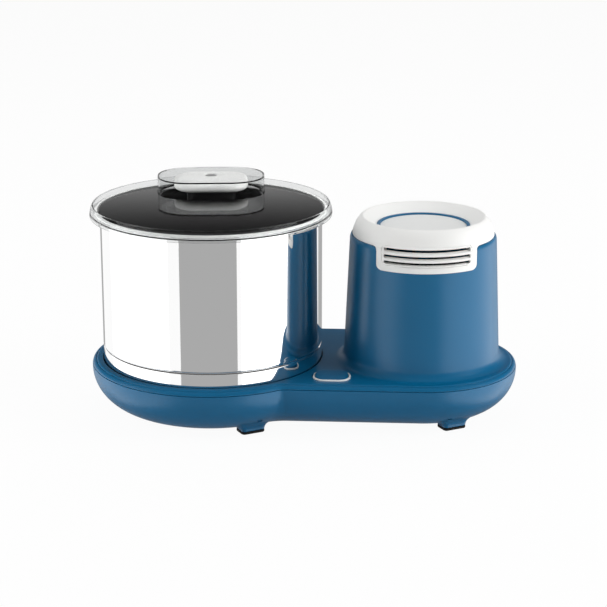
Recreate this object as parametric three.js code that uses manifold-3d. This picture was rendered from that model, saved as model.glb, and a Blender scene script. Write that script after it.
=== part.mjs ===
// A table-top wet grinder: a steel drum with rolling stones stands on one lobe of a low base,
// and a motor tower with a pale vented cap stands on the other. A belt inside the base joins them.
// All lengths are millimetres. The floor is z = 0 and the front is -Y.

import * as THREE from 'three';
import { mergeVertices } from 'three/addons/utils/BufferGeometryUtils.js';
import Module from 'manifold-3d';

const wasm = await Module();
wasm.setup();

// Shared clearances
const seatGap = 0.3;
const runGap = 0.4;
const cutOverrun = 3;
const mergeTolerance = 1e-4;
const quarterTurn = Math.PI / 2;

// Counts of faces round the curved pieces
const lobeSteps = 4;
const roundSides = 32;
const smallSides = 16;
const tinySides = 8;
const bossSides = 6;
const cornerSteps = 3;
const bowlSteps = 4;
const arcSteps = 3;
const waistSteps = 2;
const beltDrumSteps = 24;
const beltMotorSteps = 6;
const pulleySides = 24;

// The two round bodies that stand on the base, and the gap between them
const drumRadius = 120.4;
const towerFootRadius = 85.25;
const stationGap = 24.35;

// Plan of the base: two lobes joined by a waist
const drumLobeMargin = 12.6;
const motorLobeMargin = 18.95;
const waistBlend = 14;
const axleGap = drumRadius + stationGap + towerFootRadius;
const drumLobeRadius = drumRadius + drumLobeMargin;
const motorLobeRadius = towerFootRadius + motorLobeMargin;
const drumX = -(axleGap + motorLobeRadius - drumLobeRadius) / 2;
const motorX = drumX + axleGap;

// Heights of the base
const footRise = 5.5;
const bowlDepth = 46;
const bellyDrop = 8.5;
const seamDrop = 5.5;
const seamGap = 0.8;
const seamInset = 0.4;
const bowlInset = 52;
const shellWall = 2.8;
const shellFloorZ = footRise;
const bellyZ = shellFloorZ + bowlDepth;
const deckZ = bellyZ + bellyDrop;
const seamZ = deckZ - seamDrop;

// Shoulder of the top cover
const shoulderInset = 4.1;
const shoulderDrop = 1.6;
const deckInset = 7;
const deckWall = 2.8;

// Feet
const footWidth = 27;
const footDepth = 19;
const footCorner = 4;
const footFlare = 9;
const plinthRise = 20;
const footInset = 36.5;
const innerFootInset = 63;
const padHeight = 3;
const footAngle = THREE.MathUtils.degToRad(60);

// Screws that close the base, driven from below
const screwHeadRadius = 3.2;
const screwHeadHeight = 2.4;
const screwRadius = 1.7;
const screwLength = 24;
const screwHeadDepth = 12;
const bossRadius = 5;
const bossSplitRise = 24.5;
const drumScrewInset = 33;
const motorScrewInset = 24.7;
const drumScrewAngle = THREE.MathUtils.degToRad(115);
const motorScrewAngle = THREE.MathUtils.degToRad(22);
const motorBossRise = 12;
const screwHeadZ = shellFloorZ + screwHeadDepth;
const bossSplitZ = shellFloorZ + bossSplitRise;

// Cooling slots under the motor
const baseSlotCount = 5;
const baseSlotWidth = 3;
const baseSlotLength = 44;
const baseSlotPitch = 9;

// Chassis plate inside the base
const plateInset = 42;
const plateRise = 8.5;
const plateThickness = 2;
const pillarRadius = 5;
const drumPillarInset = 55;
const motorPillarInset = 54.2;
const plateZ = shellFloorZ + plateRise;
const plateTopZ = plateZ + plateThickness;

// Well in the deck that the drum turns in
const wellGap = 1.6;
const wellDepth = 6;
const wellHoleRadius = 31;
const wellWall = 2.6;
const wellRadius = drumRadius + wellGap;
const wellZ = deckZ - wellDepth;

// Steel drum
const drumHeight = 165.7;
const drumWall = 1.2;
const drumFootGap = 1.8;
const drumFloorLift = 1.5;
const drumFloorThickness = 1.5;
const drumHoleRadius = 14;
const beadRise = 16;
const beadHalf = 0.8;
const beadDepth = 0.7;
const drumFootZ = wellZ + drumFootGap;
const drumTopZ = drumFootZ + drumHeight;
const drumFloorZ = drumFootZ + drumFloorLift;
const drumFloorTopZ = drumFloorZ + drumFloorThickness;
const drumInnerRadius = drumRadius - drumWall;

// Post and drive hub under the drum
const postRadius = 8;
const postFlangeRadius = 24;
const postFlangeHeight = 4;
const postFlatDepth = 1.6;
const postFlatRun = 6;
const bearingOuterRadius = 16;
const bearingHeight = 8;
const hubRadius = 22;
const hubFootGap = 1;
const hubShoulderDrop = 9;
const hubBoreRadius = 10;
const hubLipThickness = 0.7;
const dogRadius = 20;
const dogSides = 6;
const dogHeight = 10;
const couplingRadius = 28;
const couplingGap = 1;
const hubBottomZ = plateTopZ + seatGap + postFlangeHeight + hubFootGap;
const hubShoulderZ = wellZ - hubShoulderDrop;
const lowerBearingZ = hubBottomZ + hubFootGap;
const upperBearingZ = hubShoulderZ - hubLipThickness - seatGap - bearingHeight;

// Belt drive
const drumPulleyInset = 49;
const motorPulleyRadius = 12;
const flangeLip = 3;
const pulleyRimWall = 7;
const pulleyWebThickness = 4;
const pulleyFootGap = 2.7;
const pulleyHeight = 14;
const flangeThickness = 1.6;
const beltThickness = 3;
const beltSideGap = 0.5;
const beltInnerGap = 0.5;
const drumPulleyRadius = drumLobeRadius - drumPulleyInset;
const pulleyBottomZ = hubBottomZ + pulleyFootGap;
const pulleyMiddleZ = pulleyBottomZ + pulleyHeight / 2;
const beltHeight = pulleyHeight - 2 * flangeThickness - 2 * beltSideGap;

// Stone bed and centre tube of the drum
const bedThickness = 19;
const bedInnerRadius = 31;
const bedWallGap = 1.2;
const bedChamfer = 2;
const tubeHeight = 78.9;
const tubeFlangeHeight = 1.6;
const tubeFlangeGap = 1;
const tubeFootRadius = 25;
const tubeTopRadius = 18;
const tubeBoreRadius = 13;
const bushWallGap = 0.4;
const bushFlangeHeight = 2;
const bushLength = 38;
const bedBottomZ = drumFloorTopZ + seatGap;
const bedTopZ = bedBottomZ + bedThickness;
const tubeFlangeRadius = bedInnerRadius - tubeFlangeGap;
const tubeTopZ = bedBottomZ + tubeHeight;

// Rolling stones and their holder
const stoneRadius = 42;
const stoneBoreRadius = 10;
const stoneEdge = 4;
const stoneWallGap = 18.7;
const stoneBellGap = 3.5;
const stoneSideGap = 1;
const axleRadius = 6;
const axleWallGap = 11.2;
const nutRadius = 11;
const nutLength = 5;
const bellWall = 6;
const bellTubeGap = 7;
const bellDepth = 35;
const bellCrownGap = 5;
const bellCrownHeight = 6.5;
const postEndDrop = 0.5;
const axleZ = bedTopZ + runGap + stoneRadius;
const bellBoreRadius = tubeTopRadius + bellTubeGap;
const bellRadius = bellBoreRadius + bellWall;
const bellCrownZ = tubeTopZ + bellCrownGap;
const bellBottomZ = bellCrownZ - bellDepth;
const bellTopZ = bellCrownZ + bellCrownHeight;
const postTopZ = bellTopZ - postEndDrop;
const stoneStart = bellRadius + stoneBellGap;
const stoneEnd = drumInnerRadius - stoneWallGap;
const axleEnd = drumInnerRadius - axleWallGap;

// Wiper that cleans the drum wall
const wiperGap = 1.5;
const wiperThickness = 5;
const wiperWidth = 16;
const wiperBottomGap = 3;
const wiperHeight = 68.9;
const wiperSag = 0.4;
const wiperArmWidth = 12;
const wiperArmHeight = 6;
const wiperArmDrop = 15;
const wiperBottomZ = bedTopZ + wiperBottomGap;
const wiperArmZ = bellCrownZ - wiperArmDrop;

// Clear lid with its box and a dark panel
const lidTurn = THREE.MathUtils.degToRad(6);
const lidPlateThickness = 2.3;
const lidSeatGap = 0.3;
const ribOuterGap = 1.2;
const ribThickness = 2.4;
const ribDepth = 6.3;
const panelOverhang = 0.8;
const panelThickness = 1.9;
const panelRingWidth = 2.7;
const panelRingProud = 0.7;
const rimWallGap = 0.4;
const rimCrestWidth = 1.6;
const rimCrestRise = 7.4;
const brimReach = 5.3;
const brimDrop = 9.2;
const brimLip = 1.9;
const boxWidth = 119;
const boxDepth = 82;
const boxEndFlat = 4;
const boxRise = 19;
const boxWall = 2;
const boxMargin = 3;
const panelRadius = drumRadius + panelOverhang;
const panelRingRadius = panelRadius + seatGap + panelRingWidth;
const rimInnerRadius = panelRingRadius + rimWallGap;
const rimCrestRadius = rimInnerRadius + rimCrestWidth;
const brimRadius = rimCrestRadius + brimReach;
const lidPlateZ = drumTopZ + lidSeatGap;
const lidPlateTopZ = lidPlateZ + lidPlateThickness;
const panelZ = lidPlateTopZ + seatGap;
const panelTopZ = panelZ + panelThickness;
const boxTopZ = panelTopZ + boxRise;
const boxCorner = boxDepth / 2 - boxEndFlat;
const boxCornerReach = panelRadius - boxMargin - boxCorner;

// Lifting handle that stands up into the box, centred in it
const handleEndGap = 18.5;
const handleSideGap = 9;
const handleCorner = 22;
const handleTopGap = 1.5;
const handleHeight = 10.4;
const handleRound = 6;
const armRingInnerRadius = 10;
const armRingHeight = 9;
const armWidth = 40;
const stemInset = 14;
const stemCorner = 10;
const handleY = Math.sqrt(boxCornerReach ** 2 - (boxWidth / 2 - boxCorner) ** 2) - boxEndFlat;
const handleWidth = boxWidth - 2 * handleEndGap;
const handleDepth = boxDepth - 2 * handleSideGap;
const handleBottomZ = boxTopZ - boxWall - handleTopGap - handleHeight;
const stemWidth = handleWidth - 2 * stemInset;
const stemDepth = handleDepth - 2 * stemInset;

// Motor tower
const towerTaper = 5.97;
const towerRise = 136;
const towerShoulderRise = 140.4;
const towerShoulderInset = 1.98;
const towerWall = 2.8;
const footFillet = 10.4;
const towerTopRadius = towerFootRadius - towerTaper;
const towerShoulderRadius = towerTopRadius - towerShoulderInset;

// Pale cap of the tower
const capSeamGap = 0.4;
const capCrestInset = 11.7;
const capCrestRise = 20.3;
const capDishInset = 15.2;
const capDishDepth = 10.6;
const capWall = 2.4;
const capPlugDepth = 6;
const capUnderShare = 1.6;
const capShoulderInset = 3.7;
const capShoulderDrop = 4.4;
const capBasinReach = 6.1;
const capBasinRise = 3.2;
const ringWidth = 4;
const ringHeight = 1.6;
const discDrop = 0.5;
const capCrestRadius = towerShoulderRadius - capCrestInset;
const capDishRadius = capCrestRadius - capDishInset;

// Vent apron of the cap
const apronTurn = THREE.MathUtils.degToRad(3.5);
const apronHalfWidth = 52.9;
const apronDrop = 23.6;
const apronCorner = 6;
const apronProud = 0.6;
const apronInwardDepth = 1.2;
const frameSideInset = 6.4;
const frameBottomInset = 7.7;
const frameHeight = 19.3;
const frameCorner = 5;
const frameProud = 1.3;
const slotCount = 3;
const slotSideInset = 4;
const slotHeight = 3;
const slotPitch = 6.55;
const firstSlotDrop = 3.8;
const apronBottomRise = towerShoulderRise - apronDrop;
const frameHalfWidth = apronHalfWidth - frameSideInset;
const frameBottomRise = apronBottomRise + frameBottomInset;
const frameTopRise = frameBottomRise + frameHeight;
const slotHalfWidth = frameHalfWidth - slotSideInset;
const firstSlotRise = frameTopRise - firstSlotDrop;

// Motor inside the tower
const motorSideGap = 19.28;
const cupWall = 3.5;
const cupRise = 40;
const cupFloorThickness = 4;
const cupHeight = 21.7;
const stackHeight = 50;
const statorDepth = 29;
const airGap = 0.6;
const coilBoreGap = 2;
const coilCupGap = 3.5;
const coilHeight = 13;
const coilGap = 0.4;
const motorBearingRadius = 11;
const motorBearingHeight = 7;
const bearingWall = 3;
const shaftRadius = 5;
const shaftFootGap = 4;
const legRadius = 5;
const legInset = 10;
const legAngle = THREE.MathUtils.degToRad(60);
const fanInset = 12;
const fanHubRadius = 12;
const fanHeight = 14;
const fanPlate = 1.6;
const fanBladeThickness = 2;
const fanBlades = 7;
const fanCupGap = 5;
const shaftEnd = 3;
const motorRadius = towerTopRadius - motorSideGap;
const statorBoreRadius = motorRadius - statorDepth;
const legCircleRadius = motorRadius - legInset;
const coilInnerRadius = statorBoreRadius + coilBoreGap;
const coilOuterRadius = motorRadius - cupWall - coilCupGap;
const fanRadius = motorRadius - fanInset;
const cupFloorZ = plateTopZ + cupRise;
const stackBottomZ = cupFloorZ + cupHeight + seatGap;
const upperCupTopZ = 2 * stackBottomZ + stackHeight - cupFloorZ;
const upperMotorBearingZ = upperCupTopZ - motorBearingHeight;
const fanZ = upperCupTopZ + fanCupGap;
const shaftBottomZ = plateTopZ + shaftFootGap;
const shaftTopZ = fanZ + fanHeight + shaftEnd;

// Start capacitor and its clip, behind the belt
const capacitorRadius = 15;
const capacitorLength = 60;
const capacitorDrumGap = 16.6;
const capacitorRise = 5;
const capacitorBackInset = 31.2;
const clipWall = 1.8;
const clipWidth = 14;
const clipFootDepth = 8;
const capacitorX = drumX + drumRadius + capacitorDrumGap;
const capacitorY = motorLobeRadius - capacitorBackInset;
const capacitorZ = plateTopZ + capacitorRadius + capacitorRise;

// Mains inlet gland in the back of the base
const glandOffset = 54;
const glandRise = 17;
const glandSeatInset = 1;
const glandSeatRadius = 12.5;
const glandRadius = 8;
const glandCollarRadius = 10.5;
const glandBoreRadius = 3.8;
const glandCollarLength = 3;
const glandInsideLength = 10;
const glandX = motorX - glandOffset;
const glandY = motorLobeRadius - glandSeatInset;
const glandZ = plateTopZ + glandRise;

// Rocker switch in the waist
const switchDrumGap = 14.6;
const switchFrontInset = 29.2;
const bezelWidth = 40;
const bezelDepth = 31;
const bezelCorner = 13;
const bezelRim = 2.6;
const bezelHeight = 2.2;
const keyGap = 0.7;
const keyThickness = 6.5;
const keyProud = 3.2;
const keyTilt = THREE.MathUtils.degToRad(7);
const keyRound = 1.4;
const switchBodyHeight = 22;
const switchPocketDepth = 6.4;
const switchX = drumX + drumRadius + switchDrumGap;
const switchY = switchFrontInset - motorLobeRadius;

// Overload reset button at the back of the tower
const resetRise = 26;
const resetRadius = 5;
const resetCollarRadius = 8.5;
const resetCollarLength = 2;
const resetProud = 4;
const resetButtonLength = 9;
const resetBodyRadius = 7;
const resetBodyLength = 14;

// Colours and finishes
const bluePlastic = { color: 0x2a6690, roughness: 0.38, metalness: 0 };
const whitePlastic = { color: 0xf2f3f1, roughness: 0.35, metalness: 0 };
const greyPlastic = { color: 0xd5d7d8, roughness: 0.45, metalness: 0 };
const blackPlastic = { color: 0x1b1b1c, roughness: 0.5, metalness: 0 };
const glossBlack = { color: 0x1c1c1d, roughness: 0.12, metalness: 0 };
const clearPlastic = { color: 0xe8ecee, roughness: 0.06, metalness: 0, transparent: true, opacity: 0.35 };
const blackRubber = { color: 0x161616, roughness: 0.85, metalness: 0 };
const polishedSteel = { color: 0xc9cbcc, roughness: 0.12, metalness: 1 };
const plainSteel = { color: 0x9a9da0, roughness: 0.4, metalness: 1 };
const castAluminium = { color: 0xb4b6b8, roughness: 0.5, metalness: 1 };
const granite = { color: 0x6d6c6a, roughness: 0.7, metalness: 0 };
const copperWire = { color: 0xb06a3a, roughness: 0.45, metalness: 1 };
const redPlastic = { color: 0xb32421, roughness: 0.4, metalness: 0 };

// Closed solids from geometry, and joins and cuts between them

function toSolid(geometry) {
  const bare = geometry.clone();
  bare.deleteAttribute('normal');
  bare.deleteAttribute('uv');
  const merged = geometry.userData.welded ? bare : mergeVertices(bare, mergeTolerance);
  const kept = [];
  const index = merged.index.array;
  for (let i = 0; i < index.length; i += 3) {
    const [a, b, c] = [index[i], index[i + 1], index[i + 2]];
    if (a !== b && b !== c && c !== a) kept.push(a, b, c);
  }
  if (enclosedVolume(merged.attributes.position, kept) < 0) kept.reverse();
  return new wasm.Manifold(new wasm.Mesh({
    numProp: 3,
    vertProperties: new Float32Array(merged.attributes.position.array),
    triVerts: new Uint32Array(kept),
  }));
}

function enclosedVolume(position, index) {
  const [a, b, c] = [new THREE.Vector3(), new THREE.Vector3(), new THREE.Vector3()];
  let total = 0;
  for (let i = 0; i < index.length; i += 3) {
    a.fromBufferAttribute(position, index[i]);
    b.fromBufferAttribute(position, index[i + 1]);
    c.fromBufferAttribute(position, index[i + 2]);
    total += a.dot(b.cross(c));
  }
  return total;
}

function toGeometry(solid) {
  const mesh = solid.getMesh();
  const geometry = new THREE.BufferGeometry();
  geometry.setAttribute('position', new THREE.BufferAttribute(new Float32Array(mesh.vertProperties), 3));
  geometry.setIndex(new THREE.BufferAttribute(new Uint32Array(mesh.triVerts), 1));
  geometry.userData.welded = true;
  return geometry;
}

function join(first, ...others) {
  return toGeometry(others.reduce((solid, other) => solid.add(toSolid(other)), toSolid(first)));
}

function cut(first, ...cutters) {
  return toGeometry(cutters.reduce((solid, cutter) => solid.subtract(toSolid(cutter)), toSolid(first)));
}

function common(first, second) {
  return toGeometry(toSolid(first).intersect(toSolid(second)));
}

// Basic forms, standing along +Z

function lathe(points, sides = roundSides) {
  const profile = points.map(([radius, z]) => new THREE.Vector2(radius, z));
  const first = profile[0];
  const last = profile[profile.length - 1];
  const onAxis = first.x === 0 && last.x === 0;
  if (!onAxis) profile.push(first.clone());
  return toGeometry(toSolid(new THREE.LatheGeometry(profile, sides).rotateX(Math.PI / 2)));
}

function tube(innerRadius, outerRadius, lowZ, highZ, sides = smallSides) {
  return lathe([[innerRadius, lowZ], [outerRadius, lowZ], [outerRadius, highZ], [innerRadius, highZ]], sides);
}

function rod(radius, lowZ, highZ, sides = smallSides) {
  return lathe([[0, lowZ], [radius, lowZ], [radius, highZ], [0, highZ]], sides);
}

function block(width, depth, lowZ, highZ) {
  return new THREE.BoxGeometry(width, depth, highZ - lowZ).translate(0, 0, (lowZ + highZ) / 2);
}

function prism(outline, lowZ, highZ, hole = null) {
  const shape = new THREE.Shape(outline);
  if (hole) shape.holes.push(new THREE.Path(hole));
  const geometry = new THREE.ExtrudeGeometry(shape, { depth: highZ - lowZ, bevelEnabled: false });
  return geometry.translate(0, 0, lowZ);
}

// A solid through a stack of outlines that all have the same number of points
function loft(layers) {
  const count = layers[0].outline.length;
  const positions = layers.flatMap(({ outline, z }) => outline.flatMap((point) => [point.x, point.y, z]));
  const index = [];
  for (let layer = 0; layer + 1 < layers.length; layer += 1) {
    for (let i = 0; i < count; i += 1) {
      const next = (i + 1) % count;
      const low = layer * count;
      const high = low + count;
      index.push(low + i, low + next, high + next, low + i, high + next, high + i);
    }
  }
  const top = (layers.length - 1) * count;
  const bottomFaces = THREE.ShapeUtils.triangulateShape(layers[0].outline, []);
  const topFaces = THREE.ShapeUtils.triangulateShape(layers[layers.length - 1].outline, []);
  for (const [a, b, c] of bottomFaces) index.push(c, b, a);
  for (const [a, b, c] of topFaces) index.push(top + a, top + b, top + c);
  const geometry = new THREE.BufferGeometry();
  geometry.setAttribute('position', new THREE.Float32BufferAttribute(positions, 3));
  geometry.setIndex(index);
  return geometry;
}

function alongX(geometry) {
  return geometry.rotateY(Math.PI / 2);
}

function alongY(geometry) {
  return geometry.rotateX(-Math.PI / 2);
}

// Outlines

function polar(radius, angle) {
  return [radius * Math.cos(angle), radius * Math.sin(angle)];
}

function arcPoints(centreX, centreY, radius, from, to, steps) {
  const points = [];
  for (let i = 0; i <= steps; i += 1) {
    const [x, y] = polar(radius, from + ((to - from) * i) / steps);
    points.push(new THREE.Vector2(centreX + x, centreY + y));
  }
  return points;
}

// The figure-of-eight plan of the base, drawn in by an inset all round
function lobeOutline(inset) {
  const drumR = drumLobeRadius - inset;
  const motorR = motorLobeRadius - inset;
  const blend = waistBlend + inset;
  const blendY = motorR + blend;
  const blendX = Math.sqrt((drumR + blend) ** 2 - blendY ** 2);
  const meet = Math.atan2(blendY, blendX);
  const points = [
    ...arcPoints(drumX, 0, drumR, meet, quarterTurn, lobeSteps - 1),
    ...arcPoints(drumX, 0, drumR, quarterTurn, 3 * quarterTurn, 4 * lobeSteps).slice(1),
    ...arcPoints(drumX, 0, drumR, 3 * quarterTurn, 4 * quarterTurn - meet, lobeSteps - 1).slice(1),
    ...arcPoints(drumX + blendX, -blendY, blend, 2 * quarterTurn - meet, quarterTurn, waistSteps).slice(1),
    ...arcPoints(motorX, 0, motorR, -quarterTurn, quarterTurn, 4 * lobeSteps),
    ...arcPoints(drumX + blendX, blendY, blend, -quarterTurn, meet - 2 * quarterTurn, waistSteps),
  ];
  return points.slice(0, -1);
}

function roundedOutline(width, depth, corner, steps = cornerSteps) {
  const halfX = width / 2 - corner;
  const halfY = depth / 2 - corner;
  return [
    ...arcPoints(halfX, halfY, corner, 0, quarterTurn, steps),
    ...arcPoints(-halfX, halfY, corner, quarterTurn, 2 * quarterTurn, steps),
    ...arcPoints(-halfX, -halfY, corner, 2 * quarterTurn, 3 * quarterTurn, steps),
    ...arcPoints(halfX, -halfY, corner, 3 * quarterTurn, 4 * quarterTurn, steps),
  ];
}

// A rounded plate seen from the front, reaching from the axis forward along -Y
function frontPlate(halfWidth, lowZ, highZ, corner, reach) {
  const outline = roundedOutline(2 * halfWidth, highZ - lowZ, corner);
  return prism(outline, 0, reach).rotateX(Math.PI / 2).translate(0, 0, (lowZ + highZ) / 2);
}

function curvePoints(from, control, to, steps) {
  const ends = [from, control, to].map(([radius, z]) => new THREE.Vector2(radius, z));
  return new THREE.QuadraticBezierCurve(...ends).getPoints(steps).map(({ x, y }) => [x, y]);
}

// Places that more than one piece shares

function onLobe(centreX, radius, angle) {
  const [x, y] = polar(radius, angle);
  return { x: centreX + x, y, angle };
}

function footPlaces() {
  const drumFoot = drumLobeRadius - footInset;
  const motorFoot = motorLobeRadius - footInset;
  const innerFoot = drumLobeRadius - innerFootInset;
  return [
    onLobe(drumX, drumFoot, -footAngle),
    onLobe(motorX, motorFoot, -footAngle),
    onLobe(motorX, motorFoot, footAngle),
    onLobe(drumX, drumFoot, footAngle),
    onLobe(drumX, innerFoot, Math.PI),
  ];
}

function screwPlaces() {
  const drumReach = drumLobeRadius - drumScrewInset;
  const motorReach = motorLobeRadius - motorScrewInset;
  return [-1, 1].flatMap((side) => [
    { ...onLobe(drumX, drumReach, side * drumScrewAngle), topZ: wellZ - wellWall / 2 },
    { ...onLobe(motorX, motorReach, side * motorScrewAngle), topZ: deckZ + motorBossRise },
  ]);
}

function pillarPlaces() {
  const thirds = [-1, 0, 1].map((turn) => (turn * 4 * quarterTurn) / 3);
  return thirds.flatMap((angle) => [
    onLobe(drumX, drumLobeRadius - drumPillarInset, angle + Math.PI),
    onLobe(motorX, motorLobeRadius - motorPillarInset, angle),
  ]);
}

function towerRadiusAt(rise) {
  return towerFootRadius + ((towerTopRadius - towerFootRadius) * rise) / towerRise;
}

// Base shell and the feet under it

function bowlLayers(wall) {
  const layers = [];
  for (let i = 0; i <= bowlSteps; i += 1) {
    const turn = quarterTurn * (1 - i / bowlSteps);
    const inset = wall + bowlInset * (1 - Math.cos(turn));
    layers.push({ outline: lobeOutline(inset), z: bellyZ - (bowlDepth - wall) * Math.sin(turn) });
  }
  return layers;
}

function footPlinth({ x, y, angle }) {
  const flare = 2 * footFlare;
  const layers = [
    { outline: roundedOutline(footWidth, footDepth, footCorner), z: padHeight + seatGap },
    { outline: roundedOutline(footWidth + flare, footDepth + flare, footCorner + footFlare), z: plinthRise },
  ];
  return loft(layers).rotateZ(angle + quarterTurn).translate(x, y, 0);
}

function baseShell() {
  const rimZ = seamZ - seamGap;
  const outside = loft([...bowlLayers(0), { outline: lobeOutline(seamInset), z: rimZ }]);
  const inside = loft([...bowlLayers(shellWall), { outline: lobeOutline(shellWall), z: rimZ + cutOverrun }]);
  const innerBosses = [];
  const cutters = [];
  for (const { x, y } of pillarPlaces()) {
    innerBosses.push(rod(pillarRadius, 0, plateZ - seatGap, bossSides).translate(x, y, 0));
  }
  for (const { x, y } of screwPlaces()) {
    innerBosses.push(rod(bossRadius, 0, bossSplitZ, bossSides).translate(x, y, 0));
    const headWell = rod(screwHeadRadius + runGap, -cutOverrun, screwHeadZ, bossSides);
    const shankHole = rod(screwRadius + runGap, -cutOverrun, bossSplitZ + cutOverrun, bossSides);
    cutters.push(headWell.translate(x, y, 0), shankHole.translate(x, y, 0));
  }
  for (let i = 0; i < baseSlotCount; i += 1) {
    const slot = block(baseSlotWidth, baseSlotLength, shellFloorZ - cutOverrun, plateZ);
    cutters.push(slot.translate(motorX + (i - (baseSlotCount - 1) / 2) * baseSlotPitch, 0, 0));
  }
  const glandSeat = alongY(rod(glandSeatRadius, glandY - glandInsideLength / 2, glandY));
  const glandHole = alongY(rod(glandRadius + runGap, 0, glandY + cutOverrun));
  const skin = cut(join(outside, ...footPlaces().map(footPlinth)), inside);
  const bosses = innerBosses.map((boss) => common(boss, outside));
  const body = join(skin, glandSeat.translate(glandX, 0, glandZ), ...bosses);
  return cut(body, glandHole.translate(glandX, 0, glandZ), ...cutters);
}

function footPad() {
  return prism(roundedOutline(footWidth, footDepth, footCorner), 0, padHeight);
}

function coverScrew() {
  const headTopZ = screwHeadZ - seatGap;
  const headBottomZ = headTopZ - screwHeadHeight;
  return lathe([
    [0, headBottomZ], [screwHeadRadius, headBottomZ], [screwHeadRadius, headTopZ],
    [screwRadius, headTopZ], [screwRadius, headTopZ + screwLength], [0, headTopZ + screwLength],
  ], bossSides);
}

function chassisPlate() {
  const plate = prism(lobeOutline(plateInset), plateZ, plateTopZ);
  const clearance = rod(shaftRadius + bearingWall, 0, plateTopZ + cutOverrun).translate(motorX, 0, 0);
  return cut(plate, clearance);
}

// Top cover: deck, drum well and motor tower in one moulding

function towerProfile() {
  const filletX = towerRadiusAt(footFillet) + footFillet;
  const fillet = arcPoints(filletX, deckZ + footFillet, footFillet, -quarterTurn, -2 * quarterTurn, arcSteps);
  const topZ = deckZ + towerShoulderRise;
  return [
    [filletX, deckZ - deckWall / 2],
    ...fillet.map(({ x, y }) => [x, y]),
    [towerTopRadius, deckZ + towerRise],
    [towerShoulderRadius, topZ],
    [towerShoulderRadius - towerWall, topZ],
    [towerTopRadius - towerWall, deckZ + towerRise - towerWall],
    [towerFootRadius - towerWall, deckZ],
    [towerFootRadius - towerWall, deckZ - deckWall / 2],
  ];
}

function topCover() {
  const skirtInset = seamInset + deckWall;
  const deck = loft([
    { outline: lobeOutline(seamInset), z: seamZ },
    { outline: lobeOutline(shoulderInset), z: deckZ - shoulderDrop },
    { outline: lobeOutline(deckInset), z: deckZ },
  ]);
  const underside = loft([
    { outline: lobeOutline(skirtInset), z: seamZ - cutOverrun },
    { outline: lobeOutline(skirtInset), z: seamZ },
    { outline: lobeOutline(deckInset + deckWall), z: deckZ - deckWall },
  ]);
  const wellCup = rod(wellRadius + wellWall, wellZ - wellWall, deckZ - deckWall / 2, roundSides);
  const bosses = screwPlaces().map(({ x, y, topZ }) => (
    rod(bossRadius, bossSplitZ + seatGap, topZ, bossSides).translate(x, y, 0)));
  const shankHoles = screwPlaces().map(({ x, y }) => (
    rod(screwRadius + runGap, 0, screwHeadZ + screwLength + seatGap, bossSides).translate(x, y, 0)));
  const boreBottomZ = deckZ - deckWall - cutOverrun;
  const towerBore = rod(towerFootRadius - towerWall, boreBottomZ, deckZ + cutOverrun, roundSides);
  const plate = cut(join(cut(deck, underside), wellCup.translate(drumX, 0, 0)),
    rod(wellRadius, wellZ, deckZ + cutOverrun, roundSides).translate(drumX, 0, 0),
    rod(wellHoleRadius, 0, deckZ + cutOverrun).translate(drumX, 0, 0),
    towerBore.translate(motorX, 0, 0));
  const window = frontPlate(apronHalfWidth + seatGap, deckZ + apronBottomRise - seatGap,
    deckZ + towerShoulderRise + cutOverrun, apronCorner, towerFootRadius + footFillet);
  const switchHole = prism(roundedOutline(
    bezelWidth - bezelRim, bezelDepth - bezelRim, bezelCorner - bezelRim / 2), 0, deckZ + cutOverrun);
  const resetHole = alongY(rod(resetBodyRadius + runGap, 0, towerFootRadius + cutOverrun));
  return cut(join(plate, lathe(towerProfile()).translate(motorX, 0, 0), ...bosses),
    window.rotateZ(apronTurn).translate(motorX, 0, 0),
    switchHole.translate(switchX, switchY, 0),
    resetHole.translate(motorX, 0, deckZ + resetRise),
    ...shankHoles);
}

// Pale cap with its vent apron, and the ring and disc in its dish

function coneShell(inward, proud, lowRise, highRise) {
  return lathe([
    [towerRadiusAt(lowRise) - inward, lowRise], [towerRadiusAt(lowRise) + proud, lowRise],
    [towerRadiusAt(highRise) + proud, highRise], [towerRadiusAt(highRise) - inward, highRise],
  ]).translate(0, 0, deckZ);
}

function ventApron() {
  const inward = towerWall + apronInwardDepth;
  const reach = towerFootRadius + footFillet;
  const topRise = towerShoulderRise + capSeamGap + apronInwardDepth;
  const panel = common(coneShell(inward, apronProud, apronBottomRise, frameTopRise),
    frontPlate(apronHalfWidth, deckZ + apronBottomRise, deckZ + topRise, apronCorner, reach));
  const frame = common(coneShell(inward, frameProud, apronBottomRise, frameTopRise),
    frontPlate(frameHalfWidth, deckZ + frameBottomRise, deckZ + frameTopRise, frameCorner, reach));
  return join(panel, frame);
}

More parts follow.
